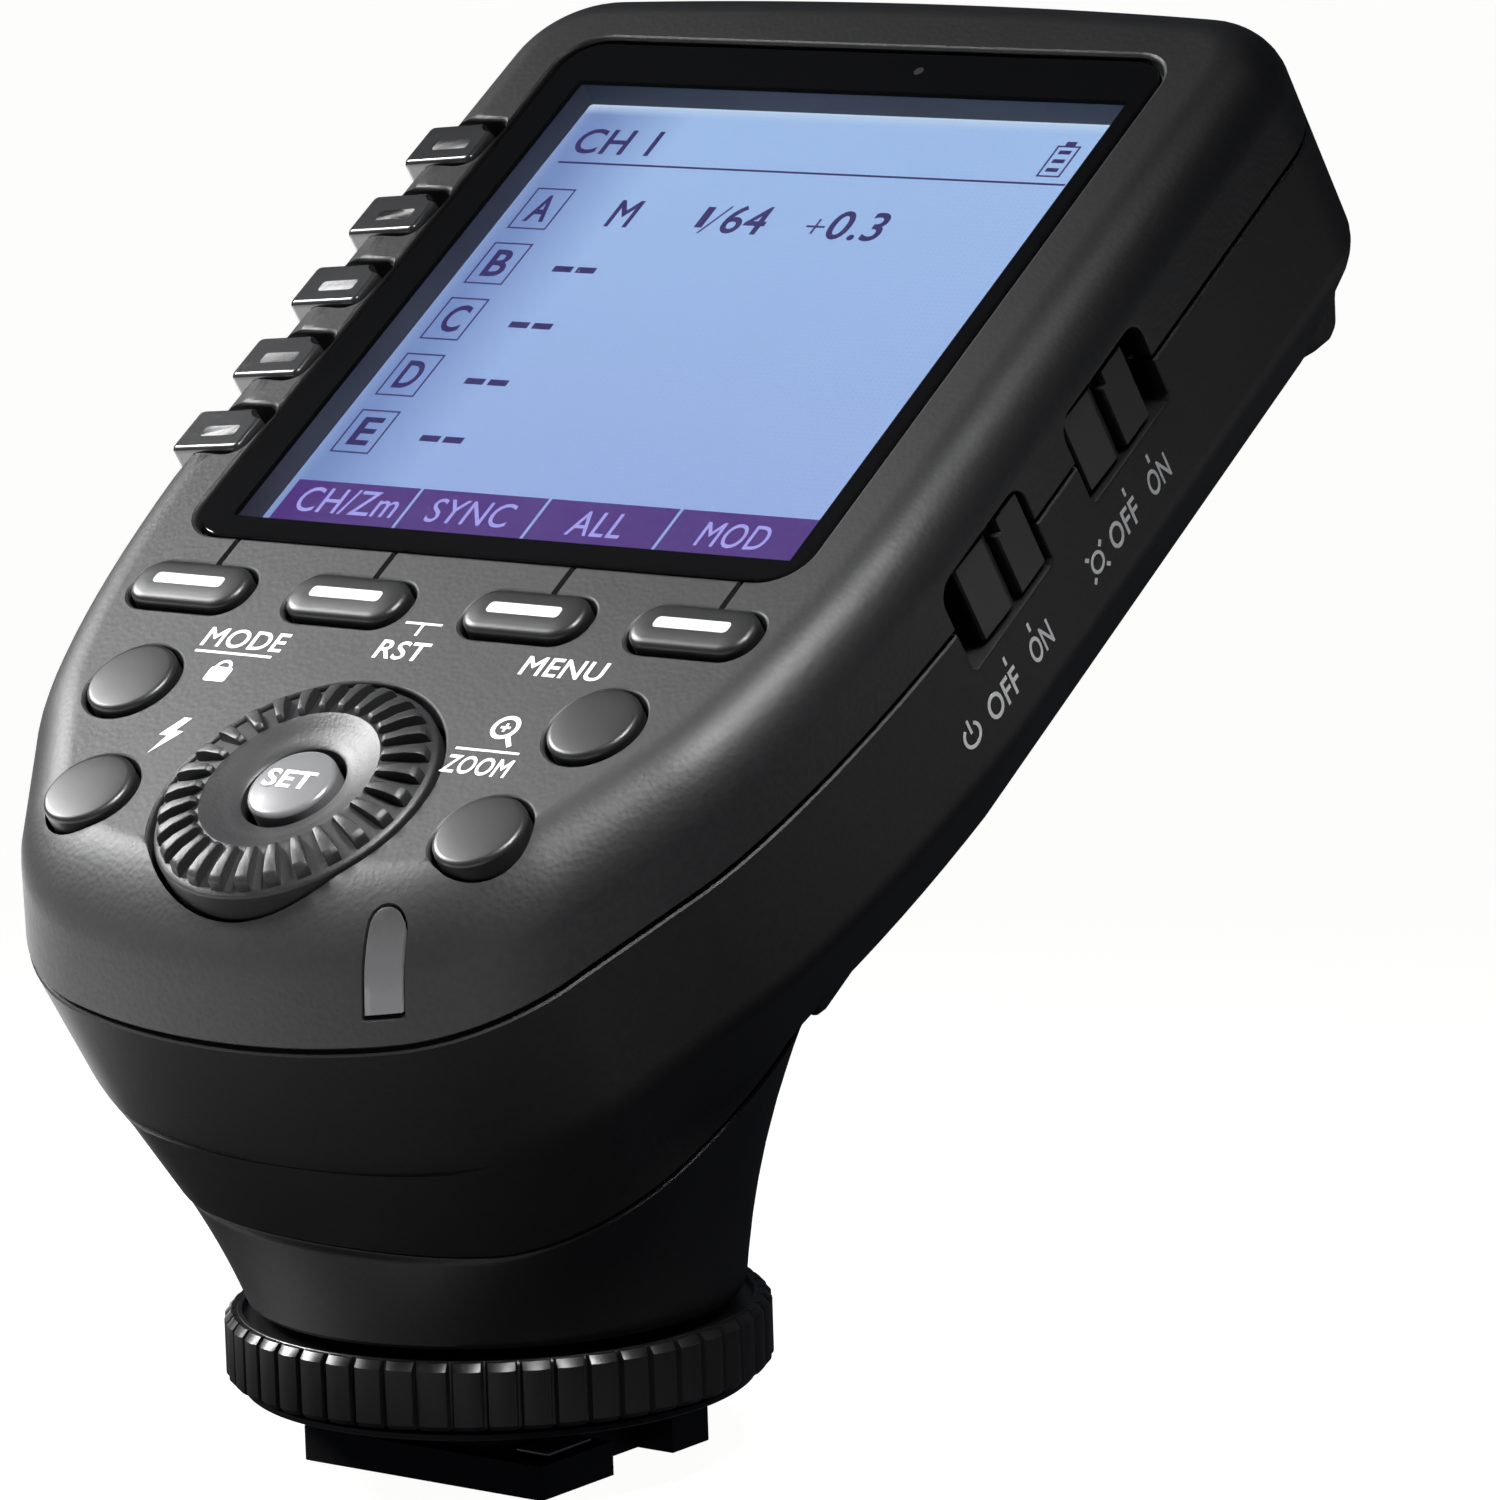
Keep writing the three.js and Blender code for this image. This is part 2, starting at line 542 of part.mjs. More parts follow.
place(slab, "door_hinge_bar", hingeBar(), SHELL);
place(slab, "door_hinge_pin", rodAlongX(-18.6, 18.6, DOOR.hinge, DOOR.axis, 0.3, 10), METAL);

// ---- radio board with its antenna, in the dial end ----
place(slab, "radio_board", box(-13, 13, 2, 16, -13.4, -12.4), BOARD);
place(slab, "antenna_can", box(-6, 6, 4, 13, -12.1, -9.8), METAL);

// ---- case screws ----
SCREWS.forEach(([x, y], k) => {
  const screw = union(drum(x, y, 1.15, -14.2, -12.4, 12), drum(x, y, 0.6, -12.6, -3.2, 8));
  place(slab, `case_screw_${k + 1}`, screw, METAL);
});

// ---- neck base: from the neck root's oval down to the lock ring ----
const neckBase = () => {
  const oval = level(NECK_OUTLINE, NECK_SEAM - GAP).map((p) => p.applyMatrix4(slab.matrix));
  const middle = new THREE.Vector3(0, 2, 0);
  const round = oval.map((p) => {
    const turn = Math.atan2(p.y - middle.y, p.x);
    return new THREE.Vector3(NECK_R * Math.cos(turn), NECK_R * Math.sin(turn), RING_TOP + 0.5);
  });
  const rings = [round];
  for (let k = 1; k <= 6; k++) {
    const rise = k / 6;
    const ease = 0.75 * rise + 0.25 * rise * rise;
    rings.push(
      round.map((p, i) => {
        const top = oval[i];
        return new THREE.Vector3(
          THREE.MathUtils.lerp(p.x, top.x, ease),
          THREE.MathUtils.lerp(p.y, top.y, ease),
          THREE.MathUtils.lerp(p.z, top.z, rise),
        );
      }),
    );
  }
  return cut(
    loft(rings),
    drum(0, 0, STEM_R + GAP, 5, 15.3, 32),
    box(-6.4, 6.4, 8, 40, 19.5, 25.1),
    ...[-1, 1].map((side) => drum(side * 4.4, 0, 0.7, 10, 20, 8)),
  );
};
place(group, "neck_base", neckBase(), SHELL);

// ---- focus-assist lamp in the neck's lens side ----
place(group, "assist_led", box(-2, 2, 9.2, 11.4, 20.6, 24), CREAM);
const assistWindow = box(-6.1, 6.1, 11.8, 13.8, 19.8, 24.8);
place(group, "assist_window", assistWindow, RED);

// ---- lock ring, clamp disc and shoe foot ----
const lockRing = () => {
  const n = RING_TEETH * 4;
  const rim = (r, depth) =>
    Array.from({ length: n }, (_, i) => {
      const turn = (i / n) * 2 * Math.PI;
      const radius = r - [0, 0, depth, depth][i % 4];
      return [radius * Math.cos(turn), radius * Math.sin(turn)];
    });
  const ringAt = (r, depth, z) => rim(r, depth).map(([x, y]) => new THREE.Vector3(x, y, z));
  const knurled = loft([
    ringAt(RING_R, 0.45, RING_BOTTOM),
    ringAt(RING_R, 0.45, RING_TOP - 0.3),
    ringAt(RING_R - 0.35, 0.2, RING_TOP),
  ]);
  return cut(knurled, drum(0, 0, STEM_R + 0.35, 0, 20, 32), drum(0, 0, NECK_R + 0.4, RING_TOP - 0.35, 20, 48));
};
place(group, "lock_ring", lockRing(), GLOSS);
place(group, "clamp_disc", cut(drum(0, 0, DISC.r, DISC.z0, DISC.z1, 48), drum(0, 0, STEM_R + 0.35, 0, 20, 32)), KEY);

const shoeFoot = () => {
  const { half, y0, y1, t, notch0, notch1, notchX } = FOOT;
  const plate = prism(roundedRect(-half, half, y0, y1, 0.5), 0, t, 2);
  const waist = prism(roundedRect(-6.2, 6.2, -6.6, 6.6, 1.5), 1, 4.2, 3).intersect(drum(0, 0, STEM_R, 0, 10, 32));
  const stem = drum(0, 0, STEM_R, 4, 15, 32);
  return cut(
    union(plate, waist, stem),
    box(notchX, 20, notch0, notch1, -1, t + 0.01),
    box(-20, -notchX, notch0, notch1, -1, t + 0.01),
    box(-6.5, 6.5, 4.6, 20, -1, 1.4),
    ...[-1, 1].map((side) => drum(side * 4.4, 0, 0.95, -1, 20, 10)),
    ...[-1, 1].map((side) => drum(side * 4.4, 0, 1.8, -1, 1.5, 16)),
  );
};
place(group, "shoe_foot", shoeFoot(), SHELL);

const contactBlock = cut(
  box(-6.2, 6.2, 4.9, 8.3, 0.25, 1.1),
  ...Array.from({ length: 8 }, (_, k) => box(-5.2 + k * 1.4, -4.6 + k * 1.4, 5.4, 9, 0, 0.55)),
);
place(group, "contact_block", contactBlock, BRASS);
place(group, "ground_leaf", box(6.4, 8.8, -6.6, -2.4, FOOT.t + 0.25, FOOT.t + 0.45), METAL);

[-1, 1].forEach((side, k) => {
  const x = side * 4.4;
  const screw = union(drum(x, 0, 1.5, 0.35, 1.2, 14), drum(x, 0, 0.55, 1, 18, 8));
  place(group, `foot_screw_${k + 1}`, screw, METAL);
});

export default group;
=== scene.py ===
"""Wireless flash trigger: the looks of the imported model, built in millimetres and placed in the row frame."""

import math

import bmesh
import bpy
from mathutils import Matrix, Vector


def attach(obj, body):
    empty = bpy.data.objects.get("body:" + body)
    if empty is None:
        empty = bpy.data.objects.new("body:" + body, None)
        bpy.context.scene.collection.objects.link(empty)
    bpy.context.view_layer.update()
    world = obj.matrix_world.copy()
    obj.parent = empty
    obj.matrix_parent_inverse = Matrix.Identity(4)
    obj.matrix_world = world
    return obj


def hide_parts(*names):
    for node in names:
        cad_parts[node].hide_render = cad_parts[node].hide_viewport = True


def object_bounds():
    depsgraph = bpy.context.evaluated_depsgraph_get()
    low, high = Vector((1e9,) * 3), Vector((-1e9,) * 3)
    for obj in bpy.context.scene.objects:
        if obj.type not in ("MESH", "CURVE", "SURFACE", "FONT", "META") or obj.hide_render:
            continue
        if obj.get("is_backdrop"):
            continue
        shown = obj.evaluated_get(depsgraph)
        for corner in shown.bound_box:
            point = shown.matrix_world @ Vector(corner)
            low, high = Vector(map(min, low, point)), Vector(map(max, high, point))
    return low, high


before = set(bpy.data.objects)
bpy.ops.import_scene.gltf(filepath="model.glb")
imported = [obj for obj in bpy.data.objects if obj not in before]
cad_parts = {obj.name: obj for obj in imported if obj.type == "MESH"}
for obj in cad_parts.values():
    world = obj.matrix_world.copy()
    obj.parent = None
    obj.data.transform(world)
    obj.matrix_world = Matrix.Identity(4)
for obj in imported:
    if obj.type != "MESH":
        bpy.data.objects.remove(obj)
cad_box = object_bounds()


# ---- sizes, in millimetres
TILT = math.radians(33.4)
FACE_OFFSET = 37.55
RING_TOP = 9.65
HALF_W = 29.8
BODY_TOP = 80.5
TOP_CROWN = 0.7
BODY_LOW = -9.5
CORNER_R = 7.0
RIM_R = 3.8
SEAM = -7.2
CREASE = -16.4
UNDERSIDE = -24.2
NECK_SEAM = -24.5
SEAM_GAP = 0.3
STRETCH_FROM = 30.0
STRETCH = 0.0186
SKIN = 2.0
DIAL_Y = 4.6
DIAL_RIBS = 28
SET_R = 2.85
ROUND_R = 2.95
ROUND_BUTTONS = {
    "mode": (-18.0, 12.2),
    "menu": (17.4, 12.2),
    "test": (-14.7, 2.75),
    "zoom": (15.1, 2.8),
}
FUNCTION_XS = (-19.15, -6.7, 7.0, 19.45)
FUNCTION_Y = 20.6
KEY_Y = 35.05
KEY_PITCH = 7.1
GLASS = (-23.3, 23.3, 25.6, 74.1)
WINDOW = (-20.8, 22.1, 27.4, 70.2)
SWITCH_LOW = 29.8
SWITCH_HIGH = 44.8
SWITCH_LENGTH = 9.8
SWITCH_HALF = 3.1
THUMB = 7.3
THUMB_GAP = 0.42
THUMB_GROOVE = 0.57
LCD_Z = -2.72
BOLD = 0.012
HEAVY = 0.02
RING_R = 16.65
RING_BOTTOM = 5.55
RING_RIBS = 50
NECK_R = 15.1

MM = Matrix.Scale(0.001, 4)
ROW = MM
SLAB_POS = Vector((0, -math.sin(TILT) * FACE_OFFSET, math.cos(TILT) * FACE_OFFSET + RING_TOP))
SLAB_MM = Matrix.Translation(SLAB_POS) @ Matrix.Rotation(TILT, 4, "X")
SLAB = MM @ SLAB_MM


# ---- node graphs
class Signal:
    """A node socket that takes part in arithmetic; each operator adds a Math node."""

    def __init__(self, graph, socket):
        self.graph = graph
        self.socket = socket

    def __add__(self, other):
        return self.graph.math("ADD", self, other)

    __radd__ = __add__

    def __mul__(self, other):
        return self.graph.math("MULTIPLY", self, other)

    __rmul__ = __mul__

    def __sub__(self, other):
        return self.graph.math("SUBTRACT", self, other)

    def __rsub__(self, other):
        return self.graph.math("SUBTRACT", other, self)

    def __truediv__(self, other):
        return self.graph.math("DIVIDE", self, other)

    def __rtruediv__(self, other):
        return self.graph.math("DIVIDE", other, self)

    def __pow__(self, other):
        return self.graph.math("POWER", self, other)

    def __neg__(self):
        return self * -1.0

    def __abs__(self):
        return self.graph.math("ABSOLUTE", self)

    def held(self, low=0.0, high=1.0):
        return self.graph.math("MINIMUM", self.graph.math("MAXIMUM", self, low), high)


class Graph:
    """Adds nodes to a tree."""

    def __init__(self, tree):
        self.tree = tree

    def node(self, kind, settings=None, inputs=None):
        made = self.tree.nodes.new(kind)
        for key, value in (settings or {}).items():
            if key == "stops":
                ramp = made.color_ramp
                while len(ramp.elements) < len(value):
                    ramp.elements.new(0.5)
                for element, (place, color) in zip(ramp.elements, value):
                    element.position = place
                    element.color = color
            else:
                setattr(made, key, value)
        for key, value in (inputs or {}).items():
            self.feed(made.inputs[key], value)
        return made

    def feed(self, socket, value):
        if isinstance(value, Signal):
            self.tree.links.new(value.socket, socket)
        else:
            socket.default_value = value

    def signal(self, kind, settings=None, inputs=None, output=0):
        return Signal(self, self.node(kind, settings, inputs).outputs[output])

    def math(self, operation, a, b=0.0):
        return self.signal("ShaderNodeMath", {"operation": operation}, {0: a, 1: b})


def grey(value, tint=(1.0, 1.0, 1.0)):
    return (value * tint[0], value * tint[1], value * tint[2], 1.0)


class Finish(Graph):
    """A material with one Principled shader."""

    def __init__(self, name, **sockets):
        self.material = bpy.data.materials.new(name)
        self.material.use_nodes = True
        super().__init__(self.material.node_tree)
        self.tree.nodes.clear()
        self.shader = self.node("ShaderNodeBsdfPrincipled")
        self.output = self.node("ShaderNodeOutputMaterial")
        self.tree.links.new(self.shader.outputs[0], self.output.inputs[0])
        self.position = self.signal("ShaderNodeTexCoord", output="Object")
        for key, value in sockets.items():
            self.set(key.replace("_", " "), value)

    def set(self, socket, value):
        self.feed(self.shader.inputs[socket], value)

    def noise(self, scale, detail=2.0, roughness=0.5, vector=None):
        values = {"Vector": vector or self.position, "Scale": scale, "Detail": detail, "Roughness": roughness}
        return self.signal("ShaderNodeTexNoise", None, values)

    def cells(self, scale, feature="F1", vector=None, randomness=1.0):
        values = {"Vector": vector or self.position, "Scale": scale, "Randomness": randomness}
        return self.signal("ShaderNodeTexVoronoi", {"feature": feature}, values)

    def stretched(self, scale):
        return self.signal("ShaderNodeMapping", None, {"Vector": self.position, "Scale": scale})

    def blend(self, factor, a, b):
        values = {"Factor": factor, "A": a, "B": b}
        made = self.node("ShaderNodeMix", {"data_type": "RGBA"})
        for socket in made.inputs:
            if socket.name == "Factor" and socket.type == "VALUE":
                self.feed(socket, factor)
            elif socket.name in ("A", "B") and socket.type == "RGBA":
                self.feed(socket, values[socket.name])
        color = [s for s in made.outputs if s.type == "RGBA"][0]
        return Signal(self, color)

    def bump(self, height, strength, distance):
        values = {"Height": height, "Strength": strength, "Distance": distance}
        self.set("Normal", self.signal("ShaderNodeBump", None, values))

    def slab_axes(self):
        """The slab frame's x, y and z in millimetres."""
        place = (0.0, -math.sin(TILT) * RING_TOP, -FACE_OFFSET - math.cos(TILT) * RING_TOP)
        values = {
            "Vector": self.position,
            "Scale": (1000.0, 1000.0, 1000.0),
            "Rotation": (-TILT, 0.0, 0.0),
            "Location": place,
        }
        mapped = self.signal("ShaderNodeMapping", None, values)
        split = self.node("ShaderNodeSeparateXYZ", None, {"Vector": mapped})
        return [Signal(self, s) for s in split.outputs]

    def row_axes(self):
        split = self.node("ShaderNodeSeparateXYZ", None, {"Vector": self.position})
        return [Signal(self, s) * 1000.0 for s in split.outputs]


def band(signal, low, high, soft=0.05):
    """1 where the signal lies between low and high, with a soft edge."""
    return ((signal - low) / soft).held() * ((high - signal) / soft).held()


def moulded(name, base, rough, grain, height, tint=(1.0, 1.0, 1.05)):
    """Moulded black plastic: a pebbled grain of the given size in mm, with slow changes in sheen."""
    f = Finish(name, IOR=1.5)
    pebble = f.cells(1000.0 / grain, "SMOOTH_F1")
    fine = f.noise(2600.0 / grain, 3.0, 0.6)
    cloud = f.noise(55.0, 3.0)
    dust = (f.noise(900.0, 5.0, 0.7) - 0.62).held() * 2.0
    tone = 0.85 + 0.3 * cloud
    color = f.blend(pebble.held(), grey(base * 0.8, tint), grey(base * 1.35, tint))
    f.set("Base Color", f.blend((dust * 0.12).held(), color, grey(base * 3.0)))
    f.set("Roughness", (rough * tone + 0.08 * fine + 0.1 * dust).held(0.05, 0.95))
    f.bump(pebble * 0.75 + fine * 0.35, 0.55, height * 0.001)
    return f.material


def satin(name, base, rough, tint=(1.0, 1.0, 1.03), coat=0.0):
    """Smooth satin plastic with faint handling marks."""
    f = Finish(name, Coat_Weight=coat, Coat_Roughness=0.06, IOR=1.5)
    marks = (f.noise(140.0, 6.0, 0.75, f.stretched((1.0, 5.0, 1.0))) - 0.5).held() * 2.0
    fine = f.noise(9000.0, 2.0)
    cloud = f.noise(80.0, 3.0)
    f.set("Base Color", f.blend(cloud, grey(base * 0.85, tint), grey(base * 1.2, tint)))
    f.set("Roughness", (rough + 0.1 * marks + 0.05 * cloud).held(0.03, 0.95))
    f.bump(fine, 0.3, 0.000004)
    return f.material


def metal(name, color, rough):
    """Drawn or stamped metal with fine brushing."""
    f = Finish(name, Metallic=1.0)
    lines = f.noise(2200.0, 4.0, 0.6, f.stretched((1.0, 40.0, 1.0)))
    stain = f.noise(260.0, 3.0)
    dark = tuple(0.78 * c for c in color[:3]) + (1.0,)
    f.set("Base Color", f.blend(stain, dark, color))
    f.set("Roughness", (rough + 0.18 * (lines - 0.5) + 0.08 * stain).held(0.05, 0.9))
    f.bump(lines, 0.25, 0.00001)
    return f.material


def glass_printed():
    """A clear pane printed black outside its window."""
    f = Finish("pane_print", Roughness=0.035, IOR=1.5, Specular_IOR_Level=0.5)
    x, y, _ = f.slab_axes()
    smear = f.noise(70.0, 4.0, 0.6, f.stretched((1.0, 0.4, 1.0)))
    f.set("Base Color", f.blend(smear, grey(0.0025), grey(0.005)))
    f.set("Roughness", (0.03 + 0.03 * smear).held())
    glass = {"Base Color": grey(0.96, (0.97, 0.985, 1.0)), "Roughness": 0.0, "IOR": 1.5}
    clear = f.node("ShaderNodeBsdfPrincipled", None, {**glass, "Transmission Weight": 1.0})
    window = band(x, WINDOW[0], WINDOW[1]) * band(y, WINDOW[2], WINDOW[3])
    mix = f.node("ShaderNodeMixShader", None, {0: window})
    f.tree.links.new(f.shader.outputs[0], mix.inputs[1])
    f.tree.links.new(clear.outputs[0], mix.inputs[2])
    f.tree.links.new(mix.outputs[0], f.output.inputs[0])
    return f.material


def display_light():
    """The lit display: pale at the far edge, bluer towards the soft keys, with a fine dot grid."""
    f = Finish("display_light", Roughness=0.35)
    x, y, _ = f.slab_axes()
    rise = ((y - 27.0) / 44.0).held()
    cloud = f.noise(38.0, 2.0)
    near = (0.35, 0.47, 0.82, 1.0)
    far = (0.42, 0.62, 0.96, 1.0)
    sky = f.blend((rise * 0.95 + 0.25 * (cloud - 0.5)).held(), near, far)
    edge = (((x - 19.8).held(0.0, 3.0) + (-20.0 - x).held(0.0, 2.0)) * 0.2 + (y - 69.3).held(0.0, 1.0)).held()
    dim = ((x + 19.0) / 7.0).held()
    sky = f.blend(dim, (0.22, 0.32, 0.62, 1.0), sky)
    lit = f.blend(edge, sky, (0.62, 0.78, 1.0, 1.0))
    grid = (f.math("SINE", x * 16.0) * 0.5 + 0.5) * (f.math("SINE", y * 16.0) * 0.5 + 0.5)
    lit = f.blend(grid * 0.08, lit, (0.1, 0.16, 0.4, 1.0))
    f.set("Base Color", (0.02, 0.03, 0.06, 1.0))
    f.set("Emission Color", lit)
    f.set("Emission Strength", 1.0)
    return f.material


def display_ink(name, dark, pale):
    """Display segments: not quite opaque, so a little light comes through."""
    f = Finish(name, Roughness=0.4, Emission_Strength=1.0)
    cloud = f.noise(1800.0, 2.0)
    f.set("Base Color", (0.005, 0.005, 0.01, 1.0))
    f.set("Emission Color", f.blend(cloud, dark, pale))
    return f.material


def printed(name, color, wear=0.25):
    """Pad-printed ink, slightly uneven."""
    f = Finish(name, Roughness=0.45)
    thin = f.noise(1500.0, 4.0, 0.7)
    dark = tuple(c * (1.0 - wear) for c in color[:3]) + (1.0,)
    f.set("Base Color", f.blend(thin, dark, color))
    f.set("Roughness", (0.35 + 0.25 * thin).held())
    f.bump(thin, 0.2, 0.00001)
    return f.material


def circuit(name):
    """Solder-masked board with traces and pads."""
    f = Finish(name, Roughness=0.35)
    traces = (f.noise(700.0, 0.0, 0.5, f.stretched((1.0, 0.15, 1.0))) - 0.5).held() * 8.0
    pads = (0.16 - f.cells(420.0)).held() * 12.0
    mask = f.blend(traces.held(), (0.008, 0.075, 0.035, 1.0), (0.02, 0.15, 0.07, 1.0))
    f.set("Base Color", f.blend(pads.held(), mask, (0.75, 0.68, 0.5, 1.0)))
    f.set("Metallic", pads.held() * 0.9)
    f.bump(traces.held() + pads.held(), 0.3, 0.00004)
    return f.material


def cell_sleeve():
    """Printed battery sleeve: a pale band at one end and metal ends."""
    f = Finish("cell_sleeve", Roughness=0.3, Coat_Weight=0.4)
    _, y, _ = f.slab_axes()
    end = (1.0 - band(y, 27.6, 76.0, 0.1)).held()
    ring = band(y, 62.0, 70.0, 0.1)
    scuff = f.noise(300.0, 4.0, 0.7)
    sleeve = f.blend(ring, (0.02, 0.05, 0.19, 1.0), (0.5, 0.52, 0.55, 1.0))
    f.set("Base Color", f.blend(end, sleeve, (0.6, 0.6, 0.62, 1.0)))
    f.set("Metallic", end)
    f.set("Roughness", (0.22 + 0.2 * scuff).held())
    return f.material


def light_pipe():
    """Smoked light pipe, paler where it turns down the wall."""
    f = Finish("light_pipe", Roughness=0.22, IOR=1.5, Coat_Weight=0.3)
    _, _, z = f.slab_axes()
    down = ((-1.2 - z) / 3.4).held()
    speck = f.noise(2500.0, 2.0)
    f.set("Base Color", f.blend((down + 0.12 * (speck - 0.5)).held(), grey(0.05), grey(0.16, (1, 1, 1.03))))
    f.bump(speck, 0.2, 0.00001)
    return f.material


def lamp_red():
    """Ribbed red window of the focus-assist lamp, with painted shade: deeper red in the rib grooves and
    brighter red on the crests.
    """
    f = Finish("lamp_red", Roughness=0.12, IOR=1.5, Coat_Weight=0.5)
    _, _, z = f.row_axes()
    prism = abs(f.math("SINE", z * 7.0))
    # painted shade: the base colour follows the rib profile, dark in the grooves and bright on the crests
    f.set("Base Color", f.blend(prism, (0.05, 0.002, 0.004, 1.0), (0.2, 0.012, 0.012, 1.0)))
    f.bump(prism, 0.5, 0.00012)
    return f.material


SHELL = moulded("shell_grain", 0.0135, 0.44, 0.34, 0.035)
LOWER = moulded("lower_grain", 0.0115, 0.5, 0.3, 0.02, (1.05, 1.0, 0.98))
DIAL_GRAIN = moulded("dial_grain", 0.014, 0.42, 0.2, 0.03)
BUTTON = satin("button_satin", 0.013, 0.34)
KEY_GLOSS = satin("key_gloss", 0.03, 0.22, coat=0.3)
RING_GLOSS = satin("ring_gloss", 0.009, 0.3, (1.04, 1.0, 0.98))
SET_METAL = satin("set_polish", 0.13, 0.26, coat=0.3)
GASKET = satin("gasket_foam", 0.10, 0.8, (1.0, 1.0, 1.15))
RUBBER = moulded("mat_rubber", 0.02, 0.75, 0.5, 0.02)
STEEL = metal("stamped_steel", (0.62, 0.63, 0.65, 1.0), 0.3)
GOLD = metal("gold_plate", (0.83, 0.62, 0.27, 1.0), 0.28)
PANE = glass_printed()
LIT = display_light()
INK = display_ink("display_ink", (0.035, 0.025, 0.13, 1.0), (0.06, 0.045, 0.19, 1.0))
BAR_INK = display_ink("soft_key_ink", (0.085, 0.03, 0.22, 1.0), (0.11, 0.05, 0.27, 1.0))
BAR_TEXT = display_ink("soft_key_text", (0.36, 0.33, 0.85, 1.0), (0.5, 0.5, 1.0, 1.0))
WHITE = printed("print_white", (0.86, 0.86, 0.86, 1.0), 0.12)
BAR_WHITE = printed("bar_white", (0.62, 0.62, 0.63, 1.0), 0.15)
BOARD = circuit("circuit_green")
CELL = cell_sleeve()
PIPE = light_pipe()
LAMP_RED = lamp_red()
CREAM = satin("diffuser_white", 0.7, 0.5)


# ---- outlines
def quad_curve(a, b, c, n):
    return [a.lerp(b, k / n).lerp(b.lerp(c, k / n), k / n) for k in range(1, n + 1)]


def cubic_curve(a, b, c, d, n):
    out = []
    for k in range(1, n + 1):
        t = k / n
        ab, bc, cd = a.lerp(b, t), b.lerp(c, t), c.lerp(d, t)
        out.append(ab.lerp(bc, t).lerp(bc.lerp(cd, t), t))
    return out


def straight(a, b, n):
    return [a.lerp(b, k / n) for k in range(1, n + 1)]


def arc(x, y, r, start, end, n):
    turns = [start + (end - start) * k / n for k in range(n + 1)]
    return [Vector((x + r * math.cos(t), y + r * math.sin(t))) for t in turns]


def mirrored(half):
    return half + [Vector((-p.x, p.y)) for p in reversed(half[1:-1])]


def body_outline(n):
    v = lambda x, y: Vector((x, y))
    half = [v(0, BODY_LOW)]
    half += quad_curve(v(0, BODY_LOW), v(7, BODY_LOW), v(12.8, -7.8), n)
    half += quad_curve(v(12.8, -7.8), v(17.6, -6.2), v(20.4, -1.9), n)
    half += straight(v(20.4, -1.9), v(25.2, 7.2), n)
    half += cubic_curve(v(25.2, 7.2), v(27.4, 11.6), v(29.2, 21), v(HALF_W, 31), n)
    half += straight(v(HALF_W, 31), v(HALF_W, BODY_TOP - CORNER_R), n)
    corner = arc(HALF_W - CORNER_R, BODY_TOP - CORNER_R, CORNER_R, 0, math.pi / 2 - 0.05, n)
    half += corner[1:]
    half += quad_curve(corner[-1], v(12, BODY_TOP + TOP_CROWN), v(0, BODY_TOP + TOP_CROWN), n)
    return mirrored(half)


def neck_outline(n):
    v = lambda x, y: Vector((x, y))
    half = [v(0, -8.6)]
    half += quad_curve(v(0, -8.6), v(7, -8.6), v(11.3, -7.5), n)
    half += cubic_curve(v(11.3, -7.5), v(15.4, -6.2), v(18, -2.6), v(19.2, 1.2), n)
    half += quad_curve(v(19.2, 1.2), v(20.6, 6), v(20.6, 11), n)
    half += cubic_curve(v(20.6, 11), v(20.6, 20), v(13, 25.4), v(0, 25.4), n)
    return mirrored(half)


def rounded_rect(x0, x1, y0, y1, r, n=8):
    points = []
    corners = ((x1 - r, y0 + r, -0.5), (x1 - r, y1 - r, 0.0), (x0 + r, y1 - r, 0.5), (x0 + r, y0 + r, 1.0))
    for x, y, turn in corners:
        points += arc(x, y, r, turn * math.pi, (turn + 0.5) * math.pi, n)
    return points


def circle(x, y, r, n=64):
    return arc(x, y, r, 0, 2 * math.pi, n)[:-1]


def grown(outline, by):
    """The outline moved outwards by a distance, or by(point); it runs anticlockwise."""
    out = []
    count = len(outline)
    for k, p in enumerate(outline):
        along = (outline[(k + 1) % count] - outline[k - 1]).normalized()
        amount = by(p) if callable(by) else by
        out.append(Vector((p.x + along.y * amount, p.y - along.x * amount)))
    return out


def level(outline, z, stretch=1.0):
    ring = []
    for p in outline:
        y = STRETCH_FROM - (STRETCH_FROM - p.y) * stretch if p.y < STRETCH_FROM else p.y
        ring.append(Vector((p.x, y, z)))
    return ring


def lean(z):
    return 1 - STRETCH * (z - SEAM)


# ---- meshes
def as_object(name, mesh):
    piece = bpy.data.objects.new(name, mesh)
    bpy.context.scene.collection.objects.link(piece)
    return piece


def from_bmesh(name, bm, tidy=True):
    if tidy:
        bmesh.ops.remove_doubles(bm, verts=bm.verts, dist=1e-5)
        bmesh.ops.recalc_face_normals(bm, faces=bm.faces)
    mesh = bpy.data.meshes.new(name)
    bm.to_mesh(mesh)
    bm.free()
    return as_object(name, mesh)


def loft(rings, name="loft"):
    """A closed skin over rings of equal point count."""
    bm = bmesh.new()
    rows = [[bm.verts.new(p) for p in ring] for ring in rings]
    n = len(rows[0])
    for low, high in zip(rows, rows[1:]):
        for i in range(n):
            j = (i + 1) % n
            bm.faces.new((low[i], low[j], high[j], high[i]))
    bm.faces.new(list(reversed(rows[0])))
    bm.faces.new(rows[-1])
    return from_bmesh(name, bm)


def prism(outline, z0, z1, name="prism"):
    return loft([level(outline, z0), level(outline, z1)], name)


def rolled(n):
    """A rolled edge in n steps: how far it has come in, and how far it has risen, as parts of its size."""
    turns = [k / n * math.pi / 2 for k in range(1, n + 1)]
    return [(1 - math.cos(t), math.sin(t)) for t in turns]


def box(x0, x1, y0, y1, z0, z1):
    corners = [Vector((x0, y0)), Vector((x1, y0)), Vector((x1, y1)), Vector((x0, y1))]
    return prism(corners, z0, z1, "box")


